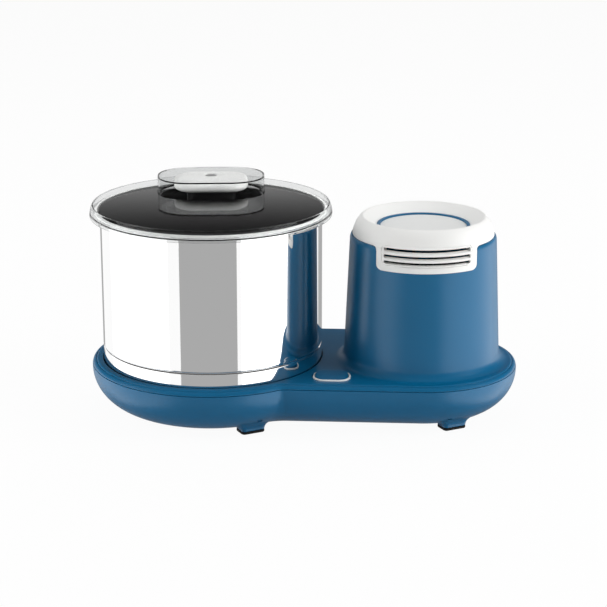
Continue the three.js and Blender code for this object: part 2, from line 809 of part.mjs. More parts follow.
function topCap() {
  const seamTopZ = deckZ + towerShoulderRise + capSeamGap;
  const crest = [capCrestRadius, seamTopZ + capCrestRise];
  const dishEdge = [capDishRadius, crest[1] - capDishDepth];
  const dishFloorZ = dishEdge[1] - ringHeight;
  const shoulder = [towerShoulderRadius - capShoulderInset, crest[1] - capShoulderDrop];
  const basin = [capDishRadius + capBasinReach, dishEdge[1] + capBasinRise];
  const outerEdge = [towerShoulderRadius - capSeamGap, seamTopZ];
  const plugRadius = towerShoulderRadius - towerWall - runGap;
  const plugInner = plugRadius - capWall;
  const profile = [
    [0, dishFloorZ - capWall],
    [capDishRadius + capWall / 2, dishFloorZ - capWall],
    [capCrestRadius, crest[1] - capUnderShare * capWall],
    [plugInner, seamTopZ + capPlugDepth],
    [plugInner, seamTopZ - capPlugDepth],
    [plugRadius, seamTopZ - capPlugDepth],
    [plugRadius, seamTopZ],
    ...curvePoints(outerEdge, shoulder, crest, arcSteps + 1),
    ...curvePoints(crest, basin, dishEdge, arcSteps).slice(1),
    [capDishRadius, dishFloorZ],
    [0, dishFloorZ],
  ];
  const reach = towerFootRadius + footFillet;
  const slots = [];
  for (let i = 0; i < slotCount; i += 1) {
    const middleZ = deckZ + firstSlotRise - i * slotPitch;
    const halfHeight = slotHeight / 2;
    slots.push(frontPlate(slotHalfWidth, middleZ - halfHeight, middleZ + halfHeight, halfHeight, reach));
  }
  return cut(join(lathe(profile), ventApron()), ...slots);
}

function capRing() {
  const topZ = deckZ + towerShoulderRise + capSeamGap + capCrestRise - capDishDepth;
  const outer = capDishRadius - seatGap;
  return tube(outer - ringWidth, outer, topZ - ringHeight + seatGap, topZ, roundSides);
}

function capDisc() {
  const topZ = deckZ + towerShoulderRise + capSeamGap + capCrestRise - capDishDepth - discDrop;
  const bottomZ = topZ + discDrop - ringHeight + seatGap;
  return rod(capDishRadius - ringWidth - 2 * seatGap, bottomZ, topZ, roundSides);
}

// Post, bearings and drive hub, round the drum's axis

function centrePost() {
  const flangeBottomZ = plateTopZ + seatGap;
  const flangeTopZ = flangeBottomZ + postFlangeHeight;
  const post = lathe([
    [0, flangeBottomZ], [postFlangeRadius, flangeBottomZ], [postFlangeRadius, flangeTopZ],
    [postRadius, flangeTopZ], [postRadius, postTopZ], [0, postTopZ],
  ]);
  return cut(post, ...postFlats(0));
}

function postFlats(grow) {
  const flatX = postRadius - postFlatDepth + grow;
  const width = postFlatDepth + cutOverrun;
  return [-1, 1].map((side) => (
    block(width, 4 * postRadius, bellCrownZ - postFlatRun, postTopZ + cutOverrun)
      .translate(side * (flatX + width / 2), 0, 0)));
}

function postBearing(bottomZ) {
  return tube(postRadius + seatGap, bearingOuterRadius, bottomZ, bottomZ + bearingHeight);
}

function driveHub() {
  const boreRadius = bearingOuterRadius + seatGap;
  const lipZ = upperBearingZ + bearingHeight + seatGap;
  const body = lathe([
    [boreRadius, hubBottomZ], [hubRadius, hubBottomZ], [hubRadius, hubShoulderZ],
    [hubBoreRadius, hubShoulderZ], [hubBoreRadius, lipZ], [boreRadius, lipZ],
  ]);
  const dog = cut(rod(dogRadius, hubShoulderZ - hubLipThickness / 2, hubShoulderZ + dogHeight, dogSides),
    rod(hubBoreRadius, 0, drumTopZ));
  return join(body, dog);
}

function pulleyProfile(boreRadius, hubWall, beltRadius) {
  const topZ = pulleyBottomZ + pulleyHeight;
  const lipRadius = beltRadius + flangeLip;
  const lowLipZ = pulleyBottomZ + flangeThickness;
  const highLipZ = topZ - flangeThickness;
  const rim = [
    [lipRadius, pulleyBottomZ], [lipRadius, lowLipZ], [beltRadius, lowLipZ],
    [beltRadius, highLipZ], [lipRadius, highLipZ], [lipRadius, topZ],
  ];
  if (hubWall === 0) return [[boreRadius, pulleyBottomZ], ...rim, [boreRadius, topZ]];
  const webLowZ = pulleyMiddleZ - pulleyWebThickness / 2;
  const webHighZ = pulleyMiddleZ + pulleyWebThickness / 2;
  const rimInner = beltRadius - pulleyRimWall;
  const hubOuter = boreRadius + hubWall;
  return [
    [boreRadius, pulleyBottomZ], [hubOuter, pulleyBottomZ], [hubOuter, webLowZ],
    [rimInner, webLowZ], [rimInner, pulleyBottomZ], ...rim, [rimInner, topZ],
    [rimInner, webHighZ], [hubOuter, webHighZ], [hubOuter, topZ], [boreRadius, topZ],
  ];
}

function drumPulley() {
  return lathe(pulleyProfile(hubRadius + seatGap, pulleyRimWall, drumPulleyRadius), pulleySides);
}

function motorPulley() {
  return lathe(pulleyProfile(shaftRadius + seatGap, 0, motorPulleyRadius), smallSides);
}

// Loop of belt round both pulleys, a given distance off their running faces
function beltOutline(offset) {
  const drumR = drumPulleyRadius + offset;
  const motorR = motorPulleyRadius + offset;
  const meet = Math.acos((drumR - motorR) / axleGap);
  return [
    ...arcPoints(drumX, 0, drumR, meet, 4 * quarterTurn - meet, beltDrumSteps),
    ...arcPoints(motorX, 0, motorR, -meet, meet, beltMotorSteps),
  ];
}

function driveBelt() {
  const lowZ = pulleyMiddleZ - beltHeight / 2;
  return prism(beltOutline(seatGap + beltThickness), lowZ, lowZ + beltHeight, beltOutline(beltInnerGap));
}

// Drum with its coupling, centre tube and stone bed

function drumShell() {
  const inner = drumInnerRadius;
  const beadZ = deckZ + beadRise;
  return lathe([
    [drumRadius, drumFootZ],
    [drumRadius, beadZ - beadHalf], [drumRadius - beadDepth, beadZ], [drumRadius, beadZ + beadHalf],
    [drumRadius, drumTopZ], [inner, drumTopZ],
    [inner, drumFloorTopZ], [drumHoleRadius, drumFloorTopZ],
    [drumHoleRadius, drumFloorZ], [inner, drumFloorZ], [inner, drumFootZ],
  ]);
}

function drumCoupling() {
  const bottomZ = hubShoulderZ + couplingGap;
  const outer = rod(couplingRadius, bottomZ, drumFloorZ - seatGap);
  const socket = rod(dogRadius + runGap / Math.cos(Math.PI / dogSides), 0, drumTopZ, dogSides);
  return cut(outer, socket);
}

function centreTube() {
  const lowZ = drumFloorTopZ + seatGap;
  const flangeTopZ = lowZ + tubeFlangeHeight;
  return lathe([
    [tubeBoreRadius, lowZ], [tubeFlangeRadius, lowZ], [tubeFlangeRadius, flangeTopZ],
    [tubeFootRadius, flangeTopZ], [tubeTopRadius, tubeTopZ], [tubeBoreRadius, tubeTopZ],
  ], smallSides);
}

function stoneBed() {
  const outer = drumInnerRadius - bedWallGap;
  return lathe([
    [bedInnerRadius, bedBottomZ], [outer, bedBottomZ], [outer, bedTopZ - bedChamfer],
    [outer - bedChamfer, bedTopZ], [bedInnerRadius, bedTopZ],
  ]);
}

function postBush() {
  const inner = postRadius + runGap;
  const outer = tubeBoreRadius - bushWallGap;
  const flangeZ = tubeTopZ + seatGap;
  return lathe([
    [inner, flangeZ - bushLength], [outer, flangeZ - bushLength], [outer, flangeZ],
    [tubeTopRadius, flangeZ], [tubeTopRadius, flangeZ + bushFlangeHeight],
    [inner, flangeZ + bushFlangeHeight],
  ], smallSides);
}

// Holder, axles and rolling stones

// Bell over the centre tube, keyed on the post's flats
function stoneHolder() {
  const bell = lathe([
    [0, bellCrownZ], [bellBoreRadius, bellCrownZ], [bellBoreRadius, bellBottomZ],
    [bellRadius, bellBottomZ], [bellRadius, bellTopZ], [0, bellTopZ],
  ], smallSides);
  const keyedBore = cut(rod(postRadius + seatGap, 0, bellTopZ + cutOverrun), ...postFlats(seatGap));
  const axleBore = alongX(rod(axleRadius + seatGap, -drumRadius, drumRadius, tinySides));
  return cut(bell, keyedBore, axleBore.translate(0, 0, axleZ));
}

function stoneAxle() {
  return alongX(rod(axleRadius, bellBoreRadius + seatGap, axleEnd, tinySides));
}

function rollerStone() {
  return alongX(lathe([
    [stoneBoreRadius, stoneStart], [stoneRadius - stoneEdge, stoneStart],
    [stoneRadius, stoneStart + stoneEdge], [stoneRadius, stoneEnd - stoneEdge],
    [stoneRadius - stoneEdge, stoneEnd], [stoneBoreRadius, stoneEnd],
  ]));
}

function stoneBush() {
  return alongX(tube(axleRadius + runGap, stoneBoreRadius - seatGap, stoneStart, stoneEnd));
}

function axleNut() {
  const start = stoneEnd + stoneSideGap;
  return alongX(tube(axleRadius + seatGap, nutRadius, start, start + nutLength, tinySides));
}

// Wiper blade against the drum wall, moulded with the arm that holds it
function wallWiper() {
  const start = bellRadius + seatGap;
  const end = drumInnerRadius - wiperGap - wiperSag;
  const bladeY = end - wiperThickness / 2;
  const arm = block(wiperArmWidth, bladeY - start, wiperArmZ, wiperArmZ + wiperArmHeight);
  const blade = block(wiperWidth, wiperThickness, wiperBottomZ, wiperBottomZ + wiperHeight);
  return join(arm.translate(0, -(start + bladeY) / 2, 0), blade.translate(0, -bladeY, 0));
}

// Arm from the top of the bell to the stem, and the handle on the stem

function handleArm() {
  const lowZ = bellTopZ + seatGap;
  const highZ = lowZ + armRingHeight;
  const ring = rod(bellRadius, lowZ, highZ);
  const armOutline = roundedOutline(armWidth, handleY + stemDepth, stemCorner);
  const arm = prism(armOutline, lowZ, highZ).translate(0, (handleY + stemDepth) / 2 - armRingInnerRadius, 0);
  const stem = prism(roundedOutline(stemWidth, stemDepth, stemCorner), lowZ, handleBottomZ - seatGap);
  const opening = rod(armRingInnerRadius, 0, drumTopZ);
  return cut(join(ring, arm, stem.translate(0, handleY, 0)), opening);
}

function liftHandle() {
  const layers = [];
  for (let i = 0; i <= 2 * arcSteps; i += 1) {
    const turn = quarterTurn * (i / arcSteps - 1);
    const inset = handleRound * (1 - Math.cos(turn));
    const outline = roundedOutline(handleWidth - 2 * inset, handleDepth - 2 * inset, handleCorner - inset);
    layers.push({ outline, z: handleBottomZ + (handleHeight * (1 + Math.sin(turn))) / 2 });
  }
  return loft(layers).translate(0, handleY, 0);
}

// Clear lid with its box, the dark panel and the ring that holds the panel

function boxOutline(grow) {
  return roundedOutline(boxWidth + 2 * grow, boxDepth + 2 * grow, boxCorner + grow);
}

function lidClear() {
  const ribOuter = drumInnerRadius - ribOuterGap;
  const ribInner = ribOuter - ribThickness;
  const crestZ = lidPlateZ + rimCrestRise;
  const crest = [rimCrestRadius, crestZ];
  const brimZ = crestZ - brimDrop;
  const plate = lathe([
    [0, lidPlateZ], [ribInner, lidPlateZ], [ribInner, lidPlateZ - ribDepth],
    [ribOuter, lidPlateZ - ribDepth], [ribOuter, lidPlateZ], [rimInnerRadius, lidPlateZ],
    [brimRadius - brimLip, brimZ - brimLip / 2], [brimRadius, brimZ],
    ...curvePoints([brimRadius, brimZ], [brimRadius - brimLip, crestZ], crest, arcSteps).slice(1),
    [rimInnerRadius, crestZ - brimLip / 2], [rimInnerRadius, lidPlateTopZ], [0, lidPlateTopZ],
  ]);
  const box = prism(boxOutline(0), lidPlateZ, boxTopZ).translate(0, handleY, 0);
  const hollow = prism(boxOutline(-boxWall), 0, boxTopZ - boxWall).translate(0, handleY, 0);
  return cut(join(plate, box), hollow);
}

function lidPanel() {
  const opening = prism(boxOutline(runGap), 0, panelTopZ + cutOverrun).translate(0, handleY, 0);
  return cut(rod(panelRadius, panelZ, panelTopZ, roundSides), opening);
}

function panelRing() {
  return tube(panelRadius + seatGap, panelRingRadius, panelZ, panelTopZ + panelRingProud, roundSides);
}

// Motor: stator between two cups, rotor, fan and bearings

function motorCup() {
  const floorTop = cupFloorZ + cupFloorThickness;
  const seat = motorBearingRadius + seatGap;
  return lathe([
    [seat, cupFloorZ], [motorRadius, cupFloorZ], [motorRadius, stackBottomZ - seatGap],
    [motorRadius - cupWall, stackBottomZ - seatGap], [motorRadius - cupWall, floorTop],
    [seat + bearingWall, floorTop], [seat + bearingWall, cupFloorZ + motorBearingHeight],
    [seat, cupFloorZ + motorBearingHeight],
  ], smallSides);
}

function lowerMotorCup() {
  const legTopZ = cupFloorZ + cupFloorThickness / 2;
  const legAngles = [legAngle, 2 * quarterTurn - legAngle].flatMap((angle) => [angle, -angle]);
  const legs = legAngles.map((angle) => {
    const [x, y] = polar(legCircleRadius, angle);
    return rod(legRadius, plateTopZ + seatGap, legTopZ, tinySides).translate(x, y, 0);
  });
  return join(motorCup(), ...legs);
}

// The upper cup is the lower one turned over about the middle of the stator
function upperMotorCup() {
  const middleZ = stackBottomZ + stackHeight / 2;
  return motorCup().rotateX(2 * quarterTurn).translate(0, 0, 2 * middleZ);
}

function motorBearing() {
  return tube(shaftRadius + seatGap, motorBearingRadius, 0, motorBearingHeight);
}

function statorStack() {
  return tube(statorBoreRadius, motorRadius, stackBottomZ, stackBottomZ + stackHeight);
}

function statorCoil(bottomZ) {
  return tube(coilInnerRadius, coilOuterRadius, bottomZ, bottomZ + coilHeight);
}

function rotorCore() {
  return tube(shaftRadius + seatGap, statorBoreRadius - airGap, stackBottomZ, stackBottomZ + stackHeight);
}

function motorShaft() {
  return rod(shaftRadius, shaftBottomZ, shaftTopZ);
}

function coolingFan() {
  const hub = rod(fanHubRadius, 0, fanHeight);
  const plate = rod(fanRadius, 0, fanPlate);
  const bladeLength = fanRadius - fanHubRadius / 2;
  const blades = [];
  for (let i = 0; i < fanBlades; i += 1) {
    const blade = block(bladeLength, fanBladeThickness, 0, fanHeight);
    blade.translate(fanRadius - bladeLength / 2, 0, 0);
    blades.push(blade.rotateZ((4 * quarterTurn * i) / fanBlades));
  }
  const bore = rod(shaftRadius + seatGap, -cutOverrun, fanHeight + cutOverrun);
  return cut(join(hub, plate, ...blades), bore).translate(0, 0, fanZ);
}

// Capacitor and mains gland

function startCapacitor() {
  return alongX(rod(capacitorRadius, -capacitorLength / 2, capacitorLength / 2));
}

function capacitorClip() {
  const inner = capacitorRadius + seatGap;
  const band = alongX(tube(inner, inner + clipWall, -clipWidth / 2, clipWidth / 2));
  const footTop = -capacitorRadius;
  const footBottom = plateTopZ + seatGap - capacitorZ;
  const foot = block(clipWidth, clipFootDepth, footBottom, footTop).translate(0, -clipFootDepth, 0);
  const can = alongX(rod(inner, -capacitorLength, capacitorLength));
  return cut(join(band, foot), can);
}

function cordGland() {
  const collarY = glandY + seatGap;
  return alongY(lathe([
    [glandBoreRadius, glandY - glandInsideLength], [glandRadius, glandY - glandInsideLength],
    [glandRadius, collarY], [glandCollarRadius, collarY],
    [glandCollarRadius, collarY + glandCollarLength], [glandBoreRadius, collarY + glandCollarLength],
  ], smallSides));
}

// Rocker switch

function keyOutline(shrink) {
  return roundedOutline(
    bezelWidth - 2 * (bezelRim + keyGap + shrink), bezelDepth - 2 * (bezelRim + keyGap + shrink),
    bezelCorner - bezelRim - keyGap - shrink);
}

function bezelOpening() {
  return roundedOutline(bezelWidth - 2 * bezelRim, bezelDepth - 2 * bezelRim, bezelCorner - bezelRim);
}

function switchBezel() {
  const outline = roundedOutline(bezelWidth, bezelDepth, bezelCorner);
  return prism(outline, 0, bezelHeight, bezelOpening()).translate(0, 0, deckZ + seatGap);
}

// Body below the bezel, with a pocket that the key rocks in
function switchBody() {
  const margin = bezelRim + 2 * seatGap;
  const outer = roundedOutline(bezelWidth - margin, bezelDepth - margin, bezelCorner - margin / 2);
  const pocket = prism(bezelOpening(), deckZ - switchPocketDepth, deckZ + cutOverrun);
  return cut(prism(outer, deckZ - switchBodyHeight, deckZ), pocket);
}

function switchKey() {
  const layers = [
    { outline: keyOutline(keyRound), z: keyProud - keyThickness },
    { outline: keyOutline(0), z: keyProud - keyThickness + keyRound },
    { outline: keyOutline(0), z: keyProud - keyRound },
    { outline: keyOutline(keyRound), z: keyProud },
  ];
  return loft(layers);
}

// Reset button, its collar and body, set along +Y in the tower's back wall

function resetBody() {
  const wallY = towerRadiusAt(resetRise - resetCollarRadius);
  return alongY(lathe([
    [resetRadius + runGap, wallY - resetBodyLength], [resetBodyRadius, wallY - resetBodyLength],
    [resetBodyRadius, wallY + seatGap], [resetCollarRadius, wallY + seatGap],
    [resetCollarRadius, wallY + seatGap + resetCollarLength],
    [resetRadius + runGap, wallY + seatGap + resetCollarLength],
  ], smallSides));
}

function resetButton() {
  const endY = towerRadiusAt(resetRise - resetCollarRadius) + resetCollarLength + resetProud;
  return alongY(rod(resetRadius, endY - resetButtonLength, endY, smallSides));
}

// Assembly

function piece(name, geometry, finish) {
  const faceted = geometry.index ? geometry.toNonIndexed() : geometry;
  faceted.computeVertexNormals();
  const mesh = new THREE.Mesh(faceted, new THREE.MeshStandardMaterial(finish));
  mesh.name = name;
  return mesh;
}

function placed(object, x, y, z = 0) {
  object.position.set(x, y, z);
  return object;
}

const grinder = new THREE.Group();

grinder.add(
  piece('base_shell', baseShell(), bluePlastic),
  piece('top_cover', topCover(), bluePlastic),
  piece('chassis_plate', chassisPlate(), plainSteel),
  piece('drive_belt', driveBelt(), blackRubber),
  piece('cord_gland', cordGland().translate(glandX, 0, glandZ), blackRubber),
  placed(piece('start_capacitor', startCapacitor(), greyPlastic), capacitorX, capacitorY, capacitorZ),
  placed(piece('capacitor_clip', capacitorClip(), plainSteel), capacitorX, capacitorY, capacitorZ),
  placed(piece('switch_bezel', switchBezel(), whitePlastic), switchX, switchY),
  placed(piece('switch_body', switchBody(), blackPlastic), switchX, switchY),
);

footPlaces().forEach(({ x, y, angle }, i) => {
  const pad = placed(piece(`foot_pad_${i + 1}`, footPad(), blackRubber), x, y);
  pad.rotation.z = angle + quarterTurn;
  grinder.add(pad);
});

screwPlaces().forEach(({ x, y }, i) => {
  grinder.add(placed(piece(`cover_screw_${i + 1}`, coverScrew(), plainSteel), x, y));
});

const key = placed(piece('switch_key', switchKey(), bluePlastic), switchX, switchY, deckZ);
key.rotation.x = keyTilt;
grinder.add(key);

const drumStation = placed(new THREE.Group(), drumX, 0);
drumStation.add(
  piece('centre_post', centrePost().rotateZ(lidTurn), polishedSteel),
  piece('lower_post_bearing', postBearing(lowerBearingZ), plainSteel),
  piece('upper_post_bearing', postBearing(upperBearingZ), plainSteel),
  piece('drive_hub', driveHub(), castAluminium),
  piece('drum_pulley', drumPulley(), blackPlastic),
  piece('drum_shell', drumShell(), polishedSteel),
  piece('drum_coupling', drumCoupling(), blackPlastic),
  piece('centre_tube', centreTube(), whitePlastic),
  piece('stone_bed', stoneBed(), granite),
  piece('post_bush', postBush(), whitePlastic),
);
grinder.add(drumStation);

const holderGroup = new THREE.Group();
holderGroup.rotation.z = lidTurn;
holderGroup.add(
  piece('stone_holder', stoneHolder(), whitePlastic),
  piece('handle_arm', handleArm(), blackPlastic),
  piece('lift_handle', liftHandle(), whitePlastic),
  piece('wall_wiper', wallWiper(), whitePlastic),
  piece('lid_clear', lidClear(), clearPlastic),
  piece('lid_panel', lidPanel(), glossBlack),
  piece('panel_ring', panelRing(), greyPlastic),
);
[['left', Math.PI], ['right', 0]].forEach(([side, angle]) => {
  const arm = placed(new THREE.Group(), 0, 0, axleZ);
  arm.rotation.z = angle;
  arm.add(
    piece(`${side}_axle`, stoneAxle(), polishedSteel),
    piece(`${side}_roller_stone`, rollerStone(), granite),
    piece(`${side}_stone_bush`, stoneBush(), whitePlastic),
    piece(`${side}_axle_nut`, axleNut(), blackPlastic),
  );
  holderGroup.add(arm);
});
drumStation.add(holderGroup);

const motorStation = placed(new THREE.Group(), motorX, 0);
const capGroup = new THREE.Group();
capGroup.rotation.z = apronTurn;
capGroup.add(piece('top_cap', topCap(), whitePlastic));
motorStation.add(
  capGroup,
  piece('cap_ring', capRing(), bluePlastic),
  piece('cap_disc', capDisc(), greyPlastic),
  piece('stator_stack', statorStack(), plainSteel),
  piece('lower_coil', statorCoil(stackBottomZ - coilGap - coilHeight), copperWire),
  piece('upper_coil', statorCoil(stackBottomZ + stackHeight + coilGap), copperWire),
  piece('lower_motor_cup', lowerMotorCup(), castAluminium),
  piece('upper_motor_cup', upperMotorCup(), castAluminium),
  placed(piece('lower_motor_bearing', motorBearing(), plainSteel), 0, 0, cupFloorZ),
  placed(piece('upper_motor_bearing', motorBearing(), plainSteel), 0, 0, upperMotorBearingZ),
  piece('rotor_core', rotorCore(), plainSteel),
  piece('motor_shaft', motorShaft(), polishedSteel),
  piece('motor_pulley', motorPulley(), castAluminium),
  piece('cooling_fan', coolingFan(), blackPlastic),
  placed(piece('reset_body', resetBody(), blackPlastic), 0, 0, deckZ + resetRise),
  placed(piece('reset_button', resetButton(), redPlastic), 0, 0, deckZ + resetRise),
);
grinder.add(motorStation);

export default grinder;
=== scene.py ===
import math

import bmesh
import bpy
from bpy.props import FloatProperty, FloatVectorProperty, PointerProperty
from bpy.types import Operator, Panel, PropertyGroup
from mathutils import Matrix, Vector
from mathutils.geometry import interpolate_bezier


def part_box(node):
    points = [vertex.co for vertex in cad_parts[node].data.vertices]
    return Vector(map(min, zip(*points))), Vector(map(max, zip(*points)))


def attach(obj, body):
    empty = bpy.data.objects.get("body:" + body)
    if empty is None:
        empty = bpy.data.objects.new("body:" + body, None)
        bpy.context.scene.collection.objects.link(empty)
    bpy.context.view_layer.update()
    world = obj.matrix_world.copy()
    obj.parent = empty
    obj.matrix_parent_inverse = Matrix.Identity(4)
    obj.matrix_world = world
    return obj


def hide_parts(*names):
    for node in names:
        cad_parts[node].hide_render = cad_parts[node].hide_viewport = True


bl_info = {
    "name": "Wet Grinder Pieces",
    "version": (1, 0, 0),
    "blender": (4, 5, 0),
    "location": "3D View > Sidebar > Grinder",
    "description": "Makes the finished pieces of a table-top wet grinder around its packed frame",
    "category": "Object",
}

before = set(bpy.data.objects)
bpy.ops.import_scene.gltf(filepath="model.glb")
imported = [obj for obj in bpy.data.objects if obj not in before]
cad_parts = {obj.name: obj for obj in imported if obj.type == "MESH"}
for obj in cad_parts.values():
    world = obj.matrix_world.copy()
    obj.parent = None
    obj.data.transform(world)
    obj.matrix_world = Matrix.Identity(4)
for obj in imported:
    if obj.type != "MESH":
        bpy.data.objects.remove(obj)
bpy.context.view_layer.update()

# Forms are drawn in millimetres and scaled to metres when a piece is finished
MM = 0.001
WELD = 0.002

# Steps round a turned form, from the widest forms to the narrowest
WIDEST_STEPS = 192
ROUND_STEPS = 144
MEDIUM_STEPS = 96
POST_STEPS = 64
SMALL_STEPS = 48
AXLE_STEPS = 32
GRIP_STEPS = 16

# Numbers of other faces, and the angle from which an edge is sharp
ROUND_SEGMENTS = 5
CORNER_SEGMENTS = 10
BOX_SEGMENTS = 20
CURVE_STEPS = 14
SHARP_ANGLE = math.radians(32)

# Sizes that more than one piece takes up, in millimetres
FOOT_SIZE = (27, 19, 4)
SCREW_HOLE = 3.9
GLAND_HOLE = 8.4

# Numbers that the CAD gives to its feet and to its cover screws
FEET = range(1, 6)
SCREWS = range(1, 5)

# The camera, fitted to the ellipses of the drum and the tower
CAMERA_PLACE = (0.1205, -2.010, 0.7195)
CAMERA_PITCH, CAMERA_YAW = math.radians(16.61), math.radians(-3.44)
CAMERA_LENS, SENSOR_WIDTH = 113.6, 36
LIGHTS_AIM = Vector((0, 0, 0.11))

# Brightness, from straight down to straight up, of what gloss mirrors and of what shows through clear parts
MIRRORED_SKY = (
    (0, 0.25), (0.22, 0.3), (0.29, 1), (0.5, 1), (0.515, 0.35), (0.5995, 0.25), (0.6074, 0.85), (0.6116, 0.8),
    (0.6156, 0.37), (0.6207, 0.11), (0.6245, 0.012), (0.65, 0.03), (1, 0.3))
SKY_BEYOND = ((0, 0.6), (0.29, 1), (0.5, 1), (0.6, 0.6), (0.64, 0.22), (1, 0.4))


def length(name, description, millimetres):
    """A length property, given in millimetres and kept in metres."""
    return FloatProperty(name=name, description=description, default=millimetres * MM,
                         unit="LENGTH", precision=5)


def tint(name, description, code):
    """A colour property, given as six hexadecimal digits and kept as scene-linear light."""
    channels = [int(code[place:place + 2], 16) / 255 for place in (0, 2, 4)]
    linear = [channel / 12.92 if channel <= 0.04045 else ((channel + 0.055) / 1.055) ** 2.4
              for channel in channels]
    return FloatVectorProperty(name=name, description=description, subtype="COLOR",
                               size=3, min=0, max=1, default=linear)


def amount(name, description, default):
    """A plain number property that can't be negative."""
    return FloatProperty(name=name, description=description, default=default, min=0)


def middle(node):
    """Centre of a CAD node's box, in millimetres."""
    low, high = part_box(node)
    return (low + high) / 2 / MM


DRUM_X = middle("centre_post").x
MOTOR_X = middle("motor_shaft").x


class BaseSizes(PropertyGroup):
    """Sizes of the base and of the cover on it"""
    drum_lobe: length("Drum lobe", "Radius of the base under the drum", 133)
    motor_lobe: length("Motor lobe", "Radius of the base under the motor tower", 104.2)
    waist_blend: length("Waist blend", "Radius that joins the two lobes", 14)
    floor_z: length("Floor height", "Height of the base's underside", 4.5)
    belly_z: length("Belly height", "Height where the bowl is widest", 51.5)
    bowl_inset: length("Bowl inset", "How far the underside is drawn in from the widest line", 52)
    wall: length("Wall", "Thickness of the mouldings", 2.8)
    seam_z: length("Seam height", "Height of the parting line", 54.5)
    seam_gap: length("Seam gap", "Height of the shadow gap at the parting line", 0.5)
    deck_z: length("Deck height", "Height of the flat deck", 60)
    well_radius: length("Well radius", "Radius of the well that the drum turns in", 121.4)
    well_z: length("Well floor", "Height of the well's floor", 54)
    well_hole: length("Well hole", "Radius of the opening in the well's floor", 31)


class TowerSizes(PropertyGroup):
    """Sizes of the motor tower and its cap"""
    foot_radius: length("Tower foot", "Radius of the tower at the deck", 85.25)
    top_radius: length("Tower top", "Radius of the tower where its shoulder starts", 79.28)
    shoulder_z: length("Shoulder height", "Height where the tower's shoulder starts", 196)
    rim_radius: length("Tower rim", "Radius of the tower's top edge", 77.3)
    rim_z: length("Tower rim height", "Height of the tower's top edge", 200.4)
    fillet: length("Foot fillet", "Radius between tower and deck", 10.4)
    cap_radius: length("Cap foot", "Radius of the cap's lower edge", 76.9)
    cap_z: length("Cap foot height", "Height of the cap's lower edge", 200.8)
    crest_radius: length("Crest radius", "Radius of the cap's highest line", 65.6)
    crest_z: length("Crest height", "Height of the cap's highest line", 221.1)
    dish_radius: length("Dish radius", "Radius of the dish's floor", 50.4)
    dish_z: length("Dish height", "Height of the dish's floor edge", 210.5)
    apron_half_width: length("Apron half width", "Half the width of the vent apron", 52.9)
    apron_z: length("Apron height", "Height of the apron's lower edge", 176.8)
    apron_turn: FloatProperty(name="Apron turn", description="Turn of the apron from the front",
                              default=math.radians(3.5), subtype="ANGLE")


class DrumSizes(PropertyGroup):
    """Sizes of the drum and of what turns in it"""
    radius: length("Drum radius", "Outside radius of the steel drum", 120.4)
    wall: length("Drum wall", "Thickness of the drum's sheet", 1.2)
    foot_z: length("Drum foot", "Height of the drum's lower edge", 55.8)
    top_z: length("Drum top", "Height of the drum's rim", 221.5)
    bead_z: length("Bead height", "Height of the rolled bead", 76)
    bed_z: length("Bed height", "Height of the stone bed's face", 78.1)
    axle_z: length("Axle height", "Height of the stones' axles", 120.5)
    stone_radius: length("Stone radius", "Radius of the rolling stones", 42)


class LidSizes(PropertyGroup):
    """Sizes of the lid and the lifting handle"""
    plate_z: length("Plate height", "Height of the lid plate's underside", 221.8)
    panel_z: length("Panel height", "Height of the dark panel's underside", 224.4)
    panel_radius: length("Panel radius", "Radius of the dark panel", 122.9)
    rim_radius: length("Rim radius", "Inside radius of the raised rim", 124.6)
    brim_radius: length("Brim radius", "Outside radius of the brim", 131.5)
    box_width: length("Box width", "Width of the clear box", 119)
    box_depth: length("Box depth", "Depth of the clear box", 82)
    box_corner: length("Box corner", "Corner radius of the clear box", 37)
    box_top_z: length("Box top", "Height of the clear box", 245.3)
    box_y: length("Box place", "How far behind the drum's axis the box stands", 74)
    handle_z: length("Handle height", "Height of the handle's underside", 231.4)
    turn: FloatProperty(name="Lid turn", description="Turn of the lid and the holder",
                        default=math.radians(6), subtype="ANGLE")


class Finishes(PropertyGroup):
    """Colours of the finishes"""
    blue: tint("Blue", "Blue plastic of the base and the tower", "00628E")
    white: tint("White", "White plastic of the cap, handle and bezel", "F8F8F6")
    food_white: tint("Food white", "White nylon of the parts inside the drum", "E9E8E0")
    pale_grey: tint("Pale grey", "Pale grey plastic of the disc and the panel's ring", "F1F2F1")
    clear: tint("Clear", "Clear plastic of the lid", "E9EAEA")
    panel: tint("Panel", "Dark panel under the lid", "0B0B0C")
    black: tint("Black", "Black plastic", "1B1B1C")
    rubber: tint("Rubber", "Black rubber", "141414")
    red: tint("Red", "Red plastic of the reset button", "A81F1C")
    mirror: tint("Mirror steel", "Polished steel of the drum", "FCFCFC")
    steel: tint("Plain steel", "Plated steel", "A9ACAF")
    aluminium: tint("Aluminium", "Cast aluminium", "B9BBBD")
    can: tint("Capacitor can", "Plastic can of the capacitor", "C9CBC8")
    copper: tint("Copper", "Lacquered copper wire", "B8703E")
    stone: tint("Granite", "Ground granite", "5E5D5B")


class StudioSettings(PropertyGroup):
    """Light of the studio"""
    ambient: amount("Ambient", "Strength of the light from all round", 0.3)
    right: amount("Right light", "Power of the light from the right, in watts", 44)
    left: amount("Left light", "Power of the light from the left, in watts", 36)
    top: amount("Top light", "Power of the light from above, in watts", 13)
    card: amount("Card", "Brightness of the grey cards that polished steel mirrors", 0.41)
    sheen: amount("Sheen", "Brightness of the cards at the sides that plastic mirrors", 2.0)


# Forms


